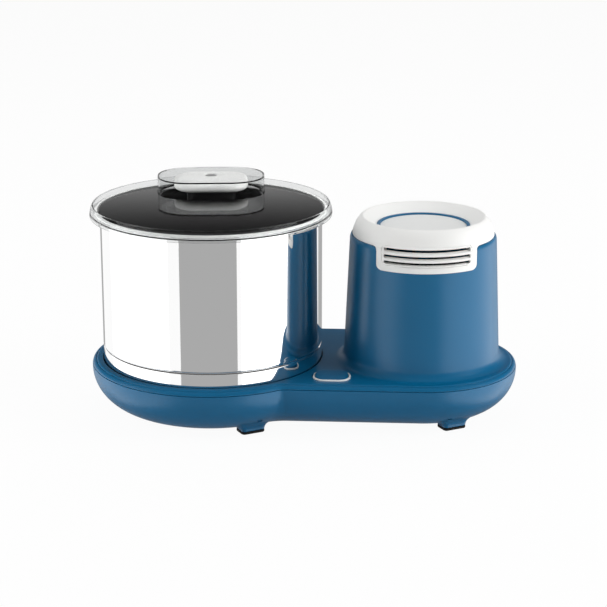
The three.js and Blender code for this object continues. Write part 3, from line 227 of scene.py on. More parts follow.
def draw(bm, points, closed):
    """Joins positions with edges, rounds each corner that comes with a rounding, and gives the edges."""
    before = set(bm.edges)
    verts = [bm.verts.new(position) for position, _ in points]
    for pair in zip(verts, verts[1:] + verts[:1] if closed else verts[1:]):
        bm.edges.new(pair)
    for vert, (_, rounding) in zip(verts, points):
        if rounding:
            bmesh.ops.bevel(bm, geom=[vert], offset=rounding, offset_type="OFFSET",
                            segments=ROUND_SEGMENTS, profile=0.5, affect="VERTICES", material=-1)
    return [edge for edge in bm.edges if edge not in before]


def with_rounding(point):
    """A profile point as its two coordinates and its rounding, which may be left out."""
    return (*point, 0) if len(point) == 2 else tuple(point)


def curve(start, control, end, steps=CURVE_STEPS):
    """Points of a smooth curve that leaves start towards control and comes in to end from it."""
    start, control, end = Vector(start), Vector(control), Vector(end)
    near, far = start.lerp(control, 2 / 3), end.lerp(control, 2 / 3)
    return [tuple(point.xy) for point in interpolate_bezier(
        start.to_3d(), near.to_3d(), far.to_3d(), end.to_3d(), steps + 1)]


def arc(centre, radius, start, end, steps):
    """Points of an arc in a profile, with its angles in degrees."""
    turns = [math.radians(start + (end - start) * step / steps) for step in range(steps + 1)]
    return [(centre[0] + radius * math.cos(turn), centre[1] + radius * math.sin(turn)) for turn in turns]


def spin(bm, geometry, centre, angle, steps, merge=False):
    """Carries edges round an upright axis, and gives where they end."""
    made = bmesh.ops.spin(bm, geom=geometry, cent=(*centre, 0), axis=(0, 0, 1), dvec=(0, 0, 0),
                          angle=angle, steps=steps, use_merge=merge, use_duplicate=False)
    return made["geom_last"]


def lathe(profile, x=0, steps=ROUND_STEPS, closed=True):
    """A turned form through (radius, z) points. A profile that starts on the axis is never closed."""
    bm = bmesh.new()
    points = [((radius, 0, z), rounding) for radius, z, rounding in map(with_rounding, profile)]
    draw(bm, points, closed and profile[0][0] > 0)
    spin(bm, bm.verts[:] + bm.edges[:], (0, 0), 2 * math.pi, steps, merge=True)
    weld(bm)
    return moved(bm, x)


def rod(radius, low, high, steps=SMALL_STEPS):
    """A plain cylinder on the axis."""
    return lathe([(0, low), (radius, low), (radius, high), (0, high)], steps=steps)


def hexagon(radius, low, height):
    """A hexagonal prism on the axis."""
    bm = bmesh.new()
    bmesh.ops.create_circle(bm, cap_ends=True, segments=6, radius=radius)
    moved(bm, z=low)
    made = bmesh.ops.extrude_face_region(bm, geom=bm.faces[:])["geom"]
    top = [item for item in made if isinstance(item, bmesh.types.BMVert)]
    bmesh.ops.translate(bm, verts=top, vec=(0, 0, height))
    return bm


def weld(bm):
    bmesh.ops.remove_doubles(bm, verts=bm.verts[:], dist=WELD)


def mend(bm):
    """Welds a form's seams and turns its faces outwards."""
    weld(bm)
    bmesh.ops.recalc_face_normals(bm, faces=bm.faces[:])


def moved(bm, x=0, y=0, z=0):
    bmesh.ops.translate(bm, verts=bm.verts[:], vec=(x, y, z))
    return bm


def turned(bm, angle, axis="Z"):
    bmesh.ops.rotate(bm, verts=bm.verts[:], cent=(0, 0, 0), matrix=Matrix.Rotation(angle, 3, axis))
    return bm


def facing_back(bm, x, y, z):
    """Lays an upright form down so that its top faces backwards, at its place."""
    return moved(turned(bm, -math.pi / 2, "X"), x, y, z)


def seated(bm, lid):
    """Turns a form as the lid and the holder are turned, and puts it on the drum's axis."""
    return moved(turned(bm, lid.group.turn), DRUM_X)


def sliced(bm, point, normal):
    """Cuts every face that a plane crosses in two."""
    bmesh.ops.bisect_plane(bm, geom=bm.verts[:] + bm.edges[:] + bm.faces[:], plane_co=point, plane_no=normal)


def used_up(bm, name="form"):
    """A mesh of what a bmesh holds, which is freed."""
    mesh = bpy.data.meshes.new(name)
    bm.to_mesh(mesh)
    bm.free()
    return mesh


def joined(*forms):
    """One bmesh with all the forms in it, which are used up."""
    whole = bmesh.new()
    for form in forms:
        mesh = used_up(form)
        whole.from_mesh(mesh)
        bpy.data.meshes.remove(mesh)
    return whole


def next_ring(bm, ring):
    """Extrudes a closed ring of edges, and gives the new ring."""
    made = bmesh.ops.extrude_edge_only(bm, edges=ring)["geom"]
    verts = {item for item in made if isinstance(item, bmesh.types.BMVert)}
    return [item for item in made if isinstance(item, bmesh.types.BMEdge) and set(item.verts) <= verts]


def ring_verts(ring):
    return list(dict.fromkeys(vert for edge in ring for vert in edge.verts))


def rectangle(bm, width, depth, corner, segments):
    """Ring of edges round a rectangle with round corners."""
    before = set(bm.edges)
    verts = [bm.verts.new((x * width / 2, y * depth / 2, 0)) for x, y in ((1, 1), (-1, 1), (-1, -1), (1, -1))]
    for pair in zip(verts, verts[1:] + verts[:1]):
        bm.edges.new(pair)
    bmesh.ops.bevel(bm, geom=verts, offset=corner, offset_type="OFFSET", segments=segments,
                    profile=0.5, affect="VERTICES", material=-1)
    return [edge for edge in bm.edges if edge not in before]


def from_core(vert, core):
    """The point of a rectangle's core that is nearest to a vertex, and the direction out from it."""
    anchor = Vector((max(-core.x, min(core.x, vert.co.x)), max(-core.y, min(core.y, vert.co.y))))
    return anchor, (vert.co.xy - anchor).normalized()


def layered(bm, size, layers, segments=CORNER_SEGMENTS):
    """A skin through round-cornered rectangles, each given as how far it grows, and its z.

    The size is width, depth and corner. Gives the first and the last ring of edges.
    """
    width, depth, corner = size
    core = Vector((width / 2 - corner, depth / 2 - corner))
    first = ring = rectangle(bm, *size, segments)
    for step, (grow, z) in enumerate(layers):
        if step:
            ring = next_ring(bm, ring)
        for vert in ring_verts(ring):
            anchor, outward = from_core(vert, core)
            vert.co = (anchor + outward * (corner + grow)).to_3d() + Vector((0, 0, z))
    return first, ring


def stack(width, depth, corner, layers, hollow=False):
    """A closed form through layers, whose ends are capped, or joined to each other when it's hollow."""
    bm = bmesh.new()
    first, last = layered(bm, (width, depth, corner), layers)
    if hollow:
        bmesh.ops.bridge_loops(bm, edges=first + last)
    else:
        for end in (first, last):
            bmesh.ops.contextual_create(bm, geom=end)
    return bm


def rounded_layers(low, high, rounding):
    """Layers of a stack from low to high whose lower and upper edges are rounded."""
    turns = [math.pi / 2 * step / ROUND_SEGMENTS for step in range(ROUND_SEGMENTS + 1)]
    lower = [(rounding * (math.sin(turn) - 1), low + rounding * (1 - math.cos(turn))) for turn in turns]
    return lower + [(grow, high - (z - low)) for grow, z in reversed(lower)]


def fill(bm, edges):
    """Fills the flat face between rings of edges."""
    bmesh.ops.triangle_fill(bm, edges=edges, use_beauty=True, use_dissolve=False)


def closed_at(bm, *heights):
    """Fills the flat openings that a form has at some heights."""
    for z in heights:
        fill(bm, [edge for edge in bm.edges
                  if edge.is_boundary and all(abs(vert.co.z - z) < WELD for vert in edge.verts)])
    return bm


def bridged(bm, rings):
    """Joins each ring of edges to the next."""
    for first, second in zip(rings, rings[1:]):
        bmesh.ops.bridge_loops(bm, edges=first + second)
    return rings


def sweep_lobes(profile, size):
    """Carries (inset, z) points round the figure-of-eight plan of the base."""
    bm = bmesh.new()
    across = size.motor_lobe + size.waist_blend
    along = math.sqrt((size.drum_lobe + size.waist_blend) ** 2 - across ** 2)
    meet = math.atan2(across, along)
    outward = Vector((math.cos(meet), math.sin(meet), 0))
    straight = Vector((MOTOR_X - DRUM_X - along, 0, 0))

    def waist(last, side):
        centre = (DRUM_X + along, side * across)
        return spin(bm, last, centre, meet - math.pi / 2, CURVE_STEPS)

    def run(last, way):
        ring = next_ring(bm, [item for item in last if isinstance(item, bmesh.types.BMEdge)])
        bmesh.ops.translate(bm, verts=ring_verts(ring), vec=way)
        return ring_verts(ring) + ring

    draw(bm, [(Vector((DRUM_X, 0, z)) + (size.drum_lobe - inset) * outward, rounding)
              for inset, z, rounding in map(with_rounding, profile)], False)
    last = spin(bm, bm.verts[:] + bm.edges[:], (DRUM_X, 0), 2 * (math.pi - meet), ROUND_STEPS)
    last = run(waist(last, -1), straight)
    last = spin(bm, last, (MOTOR_X, 0), math.pi, ROUND_STEPS // 2)
    waist(run(last, -straight), 1)
    weld(bm)
    return bm


def carved(bm, cutters, operation="DIFFERENCE"):
    """The form with closed cutters taken from it, or joined to it."""
    made = []
    for form in (bm, *cutters):
        mend(form)
        made.append(bpy.data.objects.new("form", used_up(form)))
    group = bpy.data.collections.new("cutters")
    bpy.context.scene.collection.objects.link(made[0])
    bpy.context.scene.collection.children.link(group)
    for cutter in made[1:]:
        group.objects.link(cutter)
    boolean = made[0].modifiers.new("carve", "BOOLEAN")
    boolean.operation = operation
    boolean.operand_type = "COLLECTION"
    boolean.collection = group
    boolean.solver = "EXACT"
    shaped = made[0].evaluated_get(bpy.context.evaluated_depsgraph_get())
    mesh = bpy.data.meshes.new_from_object(shaped)
    result = bmesh.new()
    result.from_mesh(mesh)
    if not result.faces:
        raise RuntimeError("a cut left nothing of its form")
    bpy.data.meshes.remove(mesh)
    for thing in made:
        mesh = thing.data
        bpy.data.objects.remove(thing)
        bpy.data.meshes.remove(mesh)
    bpy.data.collections.remove(group)
    return result


def add_piece(name, bm, finish, body, *nodes):
    """Finishes a form as a piece that rides on a body and stands for CAD nodes."""
    mend(bm)
    bmesh.ops.scale(bm, vec=(MM, MM, MM), verts=bm.verts[:])
    mesh = used_up(bm, name)
    mesh.shade_smooth()
    mesh.set_sharp_from_angle(angle=SHARP_ANGLE)
    mesh.materials.append(finish_material(finish))
    piece = bpy.data.objects.new(name, mesh)
    bpy.context.scene.collection.objects.link(piece)
    weighted = piece.modifiers.new("Even shading", "WEIGHTED_NORMAL")
    weighted.keep_sharp = True
    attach(piece, body)
    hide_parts(*nodes)
    return piece


# Shaders


class Signal:
    """A socket in an expression: each operator on it adds the node that works it out."""

    def __init__(self, recipe, socket):
        self.recipe = recipe
        self.socket = socket

    def maths(self, operation, *values):
        return self.recipe.node("ShaderNodeMath", dict(enumerate(values)), operation=operation)[0]

    def __add__(self, other):
        return self.maths("ADD", self, other)

    def __sub__(self, other):
        return self.maths("SUBTRACT", self, other)

    def __rsub__(self, other):
        return self.maths("SUBTRACT", other, self)

    def __mul__(self, other):
        return self.maths("MULTIPLY", self, other)

    def __gt__(self, other):
        return self.maths("GREATER_THAN", self, other)

    __radd__ = __add__
    __rmul__ = __mul__

    def clamped(self):
        return self.recipe.node("ShaderNodeClamp", {0: self})[0]


class Outputs:
    """A node's outputs, by name or by place."""

    def __init__(self, recipe, node):
        self.recipe = recipe
        self.node = node

    def __getitem__(self, key):
        return Signal(self.recipe, self.node.outputs[key])


class Recipe:
    """A node tree that is filled through one method."""

    def __init__(self, owner):
        owner.use_nodes = True
        self.tree = owner.node_tree
        self.tree.nodes.clear()

    def node(self, kind, values=None, stops=(), **settings):
        """Adds a node: first its settings and the stops of its ramp, then its sockets' values or links."""
        node = self.tree.nodes.new(kind)
        for name, setting in settings.items():
            setattr(node, name, setting)
        for number, (place, level) in enumerate(stops):
            elements = node.color_ramp.elements
            element = elements[number] if number < len(elements) else elements.new(1)
            element.position = place
            element.color = (level, level, level, 1)
        for key, value in (values or {}).items():
            if isinstance(value, Signal):
                self.tree.links.new(value.socket, node.inputs[key])
            else:
                node.inputs[key].default_value = value
        return Outputs(self, node)

    def place(self):
        return self.node("ShaderNodeTexCoord")["Object"]

    def noise(self, place, scale, detail=3.0, roughness=0.5):
        values = {"Vector": place, "Scale": scale, "Detail": detail, "Roughness": roughness}
        return self.node("ShaderNodeTexNoise", values)["Fac"]

    def cells(self, place, scale):
        return self.node("ShaderNodeTexVoronoi", {"Vector": place, "Scale": scale})["Color"]

    def stretched(self, place, scale):
        return self.node("ShaderNodeMapping", {"Vector": place, "Scale": scale})["Vector"]

    def ramp(self, signal, stops):
        return self.node("ShaderNodeValToRGB", {"Fac": signal}, stops)["Color"]

    def mix(self, factor, first, second):
        return self.node("ShaderNodeMix", {0: factor, 6: first, 7: second}, data_type="RGBA")[2]

    def shades(self, factor, colour, dark, light):
        """A colour that wavers between a darker and a lighter shade of it."""
        return self.mix(factor, shade(colour, dark), shade(colour, light))

    def bump(self, height, strength, distance=0.0004):
        values = {"Height": height, "Strength": strength, "Distance": distance}
        return self.node("ShaderNodeBump", values)["Normal"]

    def glow(self, level):
        """Light of its own, which no other light changes."""
        return self.node("ShaderNodeEmission", {"Color": (level, level, level, 1), "Strength": 1.0})["Emission"]

    def surface(self, values):
        self.output(self.node("ShaderNodeBsdfPrincipled", values)["BSDF"])

    def output(self, shader):
        self.node("ShaderNodeOutputMaterial", {"Surface": shader})


def shade(colour, level):
    """A colour made lighter or darker, with its alpha."""
    return (*(min(channel * level, 1) for channel in colour), 1)


# Moulded plastics, each with its tint, roughness, grain and specular level
MOULDED = {
    "blue_plastic": ("blue", 0.33, 0.02, 0.5),
    "white_plastic": ("white", 0.36, 0.02, 0.4),
    "food_white_plastic": ("food_white", 0.5, 0.06, 0.4),
    "pale_grey_plastic": ("pale_grey", 0.42, 0.03, 0.4),
    "black_plastic": ("black", 0.45, 0.06, 0.5),
    "red_plastic": ("red", 0.35, 0.02, 0.5),
    "capacitor_can": ("can", 0.4, 0.03, 0.5),
}


def moulded(recipe, colour, roughness, grain, specular):
    """Moulded plastic: faint clouding of the colour and the gloss, and a fine spark-eroded grain."""
    place = recipe.place()
    recipe.surface({
        "Base Color": recipe.shades(recipe.noise(place, 9, 2), colour, 0.955, 1.045),
        "Roughness": recipe.noise(place, 55, 4) * 0.07 + (roughness - 0.035),
        "Normal": recipe.bump(recipe.noise(place, 2600, 2, 0.6), grain),
        "Specular IOR Level": specular,
    })


def black_rubber(recipe, tints):
    """Matt rubber with a soft bloom on it."""
    place = recipe.place()
    bloom = recipe.noise(place, 60, 5, 0.65)
    recipe.surface({
        "Base Color": recipe.shades(bloom, tints.rubber, 0.8, 1.6),
        "Roughness": bloom * 0.15 + 0.68,
        "Normal": recipe.bump(recipe.noise(place, 1500, 3), 0.15),
        "Specular IOR Level": 0.3,
    })


def clear_plastic(recipe, tints):
    """Clear polycarbonate with the faint haze of a moulding."""
    haze = recipe.noise(recipe.place(), 30, 3)
    recipe.surface({
        "Base Color": (*tints.clear, 1),
        "Roughness": haze * 0.006 + 0.002,
        "IOR": 1.2,
        "Transmission Weight": 1.0,
    })


def gloss_black_panel(recipe, tints):
    """Dark glossy panel with a faint orange-peel in its gloss."""
    place = recipe.place()
    recipe.surface({
        "Base Color": recipe.shades(recipe.noise(place, 12, 2), tints.panel, 0.8, 1.25),
        "Roughness": recipe.noise(place, 70, 3) * 0.02 + 0.035,
        "Normal": recipe.bump(recipe.noise(place, 260, 1), 0.012),
    })


def polished_steel(recipe, tints):
    """Mirror-polished sheet: the turns of the polishing wheel show only as a trace in the gloss."""
    place = recipe.place()
    turns = recipe.noise(recipe.stretched(place, (3, 3, 900)), 1, 4, 0.6)
    smears = recipe.noise(place, 14, 3)
    recipe.surface({
        "Base Color": recipe.shades(smears, tints.mirror, 0.985, 1),
        "Metallic": 1.0,
        "Roughness": turns * 0.018 + smears * 0.014 + 0.008,
    })


def plain_steel(recipe, tints):
    """Zinc-plated steel: soft spangle and fine rolling lines."""
    place = recipe.place()
    lines = recipe.noise(recipe.stretched(place, (30, 900, 900)), 1, 3)
    recipe.surface({
        "Base Color": recipe.shades(lines, tints.steel, 0.86, 1.08),
        "Metallic": 1.0,
        "Roughness": recipe.cells(place, 160.0) * 0.1 + 0.27,
        "Normal": recipe.bump(lines, 0.05),
    })


def cast_aluminium(recipe, tints):
    """Cast metal with a sandy skin."""
    place = recipe.place()
    sand = recipe.noise(place, 900, 5, 0.7)
    recipe.surface({
        "Base Color": recipe.shades(recipe.noise(place, 40, 4), tints.aluminium, 0.82, 1.06),
        "Metallic": 1.0,
        "Roughness": sand * 0.2 + 0.38,
        "Normal": recipe.bump(sand, 0.2, 0.0005),
    })


def copper_winding(recipe, tints):
    """Lacquered wire laid in turns."""
    values = {"Vector": recipe.place(), "Scale": 330.0, "Distortion": 2.0, "Detail": 2.0}
    wave = recipe.node("ShaderNodeTexWave", values, wave_type="RINGS", rings_direction="Z")["Fac"]
    recipe.surface({
        "Base Color": recipe.shades(wave, tints.copper, 0.5, 1.05),
        "Metallic": 0.8,
        "Roughness": 0.38,
        "Coat Weight": 0.4,
        "Normal": recipe.bump(wave, 0.5, 0.0006),
    })


def granite(recipe, tints):
    """Ground granite: pale and dark grains of several sizes in a grey mass, with open pores."""
    place = recipe.place()
    mass = recipe.noise(place, 240, 6, 0.7)
    body = recipe.shades(recipe.ramp(mass, ((0.3, 0), (0.7, 1))), tints.stone, 0.6, 1.6)
    pale = recipe.ramp(recipe.cells(place, 420.0), ((0.62, 0), (0.75, 1)))
    specks = recipe.ramp(recipe.cells(place, 650.0), ((0.28, 1), (0.36, 0)))
    light = recipe.mix(pale, body, shade(tints.stone, 3.2))
    recipe.surface({
        "Base Color": recipe.mix(specks, light, shade(tints.stone, 0.18)),
        "Roughness": mass * 0.25 + 0.5,
        "Normal": recipe.bump(mass, 0.25, 0.0006),
    })


FINISH_MAKERS = {maker.__name__: maker for maker in (
    black_rubber, clear_plastic, gloss_black_panel, polished_steel, plain_steel, cast_aluminium,
    copper_winding, granite)}

# CAD nodes inside the housing that stay as they are, with the finish of each
KEPT_NODES = {
    "plain_steel": ("chassis_plate", "capacitor_clip", "lower_post_bearing", "upper_post_bearing",
                    "stator_stack", "lower_motor_bearing", "upper_motor_bearing", "rotor_core"),
    "polished_steel": ("motor_shaft",),
    "cast_aluminium": ("lower_motor_cup", "upper_motor_cup", "motor_pulley"),
    "black_plastic": ("switch_body", "drum_pulley", "cooling_fan"),
    "black_rubber": ("drive_belt",),
    "capacitor_can": ("start_capacitor",),
    "copper_winding": ("lower_coil", "upper_coil"),
}


def finish_material(finish):
    """The material of a finish, made when it is first asked for."""
    name = "finished_" + finish
    material = bpy.data.materials.get(name)
    if material is None:
        material = bpy.data.materials.new(name)
        recipe, tints = Recipe(material), bpy.context.scene.grinder_finishes
        if finish in MOULDED:
            colour, *values = MOULDED[finish]
            moulded(recipe, getattr(tints, colour), *values)
        else:
            FINISH_MAKERS[finish](recipe, tints)
    return material


class InMillimetres:
    """Reads a property group's lengths in millimetres."""

    def __init__(self, group):
        self.group = group

    def __getattr__(self, name):
        return getattr(self.group, name) / MM


def sizes(context, *names):
    """Groups of sizes by the names of their parts, in millimetres."""
    return [InMillimetres(getattr(context.scene, "grinder_" + name)) for name in names]


# Places


def tower_radius(tower, deck_z, z):
    """Radius of the tower's straight wall at a height."""
    share = (z - deck_z) / (tower.shoulder_z - deck_z)
    return tower.foot_radius + (tower.top_radius - tower.foot_radius) * share


def node_place(node):
    """A CAD node's centre, in millimetres, without its height."""
    spot = middle(node)
    return spot.x, spot.y


def foot_place(number):
    """A foot's centre, and the angle at which it stands square to the middle of its lobe."""
    x, y = node_place(f"foot_pad_{number}")
    return x, y, math.atan2(y, x - (DRUM_X if x < 0 else MOTOR_X)) + math.pi / 2


# Pieces


class GRINDER_OT_lower_shell(Operator):
    """Make the bowl of the base with its feet, slots and screw wells"""
    bl_idname = "grinder.lower_shell"
    bl_label = "Lower Shell"
    bl_options = {"REGISTER", "UNDO"}

    def execute(self, context):
        [base] = sizes(context, "base")
        wall, rim_z = base.wall, base.seam_z - base.seam_gap
        depth = base.belly_z - base.floor_z
        outer = [(base.bowl_inset * (1 - x), base.belly_z - depth * y) for x, y in arc((0, 0), 1, 90, 0, 24)]
        inner = [(wall + (base.bowl_inset - wall) * (1 - x), base.belly_z - (depth - wall) * y)
                 for x, y in arc((0, 0), 1, 0, 90, 12)]
        profile = [*outer, (0.1, rim_z, 0.35), (1.6, rim_z), (1.6, rim_z - 1), (wall, rim_z - 1), *inner]
        shell = closed_at(sweep_lobes(profile, base), base.floor_z, base.floor_z + wall)
        cutters = [moved(stack(3, 44, 1.45, [(0, 0), (0, base.floor_z + wall + 1)]), MOTOR_X + number * 9)
                   for number in range(-2, 3)]
        screws = [node_place(f"cover_screw_{number}") for number in SCREWS]
        cutters += [moved(rod(SCREW_HOLE, 0, 30), *place) for place in screws]
        gland = middle("cord_gland")
        seat_y = base.motor_lobe - 1
        cutters.append(facing_back(rod(GLAND_HOLE, 0, 30), gland.x, seat_y - 25, gland.z))
        for number, shift in ((1, 11.5), (2, -2.2)):
            x, y = node_place(f"foot_pad_{number}")
            cutters.append(moved(stack(4.6, 40, 0.8, [(0, 0), (0, 3.8)]), x + shift, y - 20, 16.5))
        seat = lathe([(GLAND_HOLE, 0), (11.2, 0), (12.5, -1.2), (12.5, -8), (GLAND_HOLE, -8)], steps=SMALL_STEPS)
        forms = [carved(shell, cutters), facing_back(seat, gland.x, seat_y, gland.z)]
        for place in screws:
            well = moved(lathe([(SCREW_HOLE, 0), (5.2, 0), (5.2, 26), (2.1, 26), (2.1, 17.6), (SCREW_HOLE, 17.6)],
                               steps=SMALL_STEPS), *place)
            for vert in well.verts:
                if vert.co.z < 1:
                    vert.co.z = self.bowl_z(base, vert.co) + 0.9
            forms.append(well)
        forms += [self.plinth(base, number) for number in FEET]
        add_piece("lower_shell", joined(*forms), "blue_plastic", "base", "base_shell")
        return {"FINISHED"}

    def bowl_z(self, base, spot):
        """Height of the bowl's outside at a place of the plan."""
        drum_side = base.drum_lobe - math.hypot(spot.x - DRUM_X, spot.y)
        motor_side = base.motor_lobe - math.hypot(spot.x - MOTOR_X, spot.y)
        inset = max(min(max(drum_side, motor_side), base.bowl_inset), 0)
        share = 1 - inset / base.bowl_inset
        return base.belly_z - (base.belly_z - base.floor_z) * math.sqrt(1 - share ** 2)

    def plinth(self, base, number):
        """A foot whose sides sweep out to meet the bowl."""
        x, y, angle = foot_place(number)
        width, depth, corner = FOOT_SIZE
        low, sweep, steps = 3.3, 13, 10
        core = Vector((width / 2 - corner, depth / 2 - corner))
        turn = Matrix.Rotation(angle, 3, "Z")
        bm = bmesh.new()
        first, ring = layered(bm, FOOT_SIZE, [(-0.4, low), (0, low + 0.5)])
        for step in range(1, steps + 2):
            ring = next_ring(bm, ring)
            sunk = 0.8 if step > steps else 0
            for vert in ring_verts(ring):
                anchor, outward = from_core(vert, core)
                foot, far = [turn @ (anchor + outward * reach).to_3d() + Vector((x, y, 0))
                             for reach in (corner, corner + sweep)]
                knee_z = max(self.bowl_z(base, foot) + 0.9, low + 2)
                bend = curve((0, low + 0.5), (0.4, knee_z), (sweep, self.bowl_z(base, far) + 0.25), steps)
                reach, z = bend[min(step, steps)]
                vert.co = (anchor + outward * (corner + reach + sunk)).to_3d() + Vector((0, 0, z + sunk))
        for end in (first, ring):
            bmesh.ops.contextual_create(bm, geom=end)
        return moved(turned(bm, angle), x, y)


class GRINDER_OT_upper_cover(Operator):
    """Make the deck, the drum's well and the motor tower, which are one moulding"""
    bl_idname = "grinder.upper_cover"
    bl_label = "Upper Cover"
    bl_options = {"REGISTER", "UNDO"}

    def execute(self, context):
        base, tower = sizes(context, "base", "tower")
        deck, under, wall = base.deck_z, base.deck_z - base.wall, base.wall
        skirt = sweep_lobes([
            (8.2, deck), (7.4, deck), *curve((7.0, deck), (5.4, deck - 0.1), (4.75, deck - 1.1), 6),
            (4.45, deck - 1.95), (3.95, deck - 1.9),
            *curve((3.7, deck - 1.35), (1.2, deck - 2.1), (0.45, deck - 4.9), 8),
            (0.45, base.seam_z, 0.2), (3.0, base.seam_z), (3.2, under - 1.6), (9.2, under)], base)
        radius, hole, floor = base.well_radius, base.well_hole, base.well_z
        well = lathe([
            (radius + 1.5, deck), (radius, deck, 0.7), (radius, floor, 1.6), (hole, floor, 0.6), (hole, floor - 2.4),
            (radius + 1, floor - 2.4, 1.5), (radius + 1, under - 0.8), (radius + 1.4, under)], DRUM_X, closed=False)
        low = deck + tower.fillet
        start = tower_radius(tower, deck, low) + tower.fillet
        # Points up the straight wall keep its faces near to square
        heights = [low + (tower.shoulder_z - low) * step / 8 for step in range(1, 8)]
        body = lathe([
            (start + 1, deck), *arc((start, low), tower.fillet, 270, 180, 12),
            *[(tower_radius(tower, deck, z), z) for z in heights],
            *curve((tower.top_radius, tower.shoulder_z), (tower.top_radius - 0.3, tower.rim_z - 1.5),
                   (tower.rim_radius + 0.4, tower.rim_z), 7),
            (tower.rim_radius, tower.rim_z + 0.05), (tower.rim_radius - wall, tower.rim_z, 0.4),
            (tower.top_radius - wall, tower.shoulder_z - wall), (tower.foot_radius - wall, under - 0.6),
            (tower.foot_radius - wall + 1, under)], MOTOR_X, closed=False)
        switch, reset = middle("switch_bezel"), middle("reset_body")
        cover = carved(closed_at(joined(skirt, well, body), deck, under), [
            moved(turned(apron_block(tower), tower.group.apron_turn), MOTOR_X),
            moved(stack(37.4, 28.4, 11.7, [(0, under - 5), (0, deck + 5)]), switch.x, switch.y),
            facing_back(rod(7.4, 0, 40), reset.x, 70, reset.z)])
        add_piece("upper_cover", cover, "blue_plastic", "base", "top_cover")
        return {"FINISHED"}


def apron_outline(bm, tower, grow, y):
    """Ring of edges round the apron, seen from the front, with flared top corners."""
    half, low, seam = tower.apron_half_width + grow, tower.apron_z - grow, tower.rim_z + 0.2 - grow
    side = [(half, low, 6 + grow), (half, seam, 3.2), (half + 4, seam, 0), (half + 4, tower.cap_z + 6, 0)]
    points = [((-x, y, z), r) for x, z, r in side] + [((x, y, z), r) for x, z, r in reversed(side)]
    return draw(bm, points, True)


def apron_block(tower):
    """Closed block with the apron's outline and 0.3 mm to spare, through the front of the tower's wall."""
    bm = bmesh.new()
    first = apron_outline(bm, tower, 0.3, -45)
    last = next_ring(bm, first)
    bmesh.ops.translate(bm, verts=ring_verts(last), vec=(0, -60, 0))
    for end in (first, last):
        fill(bm, end)
    return bm


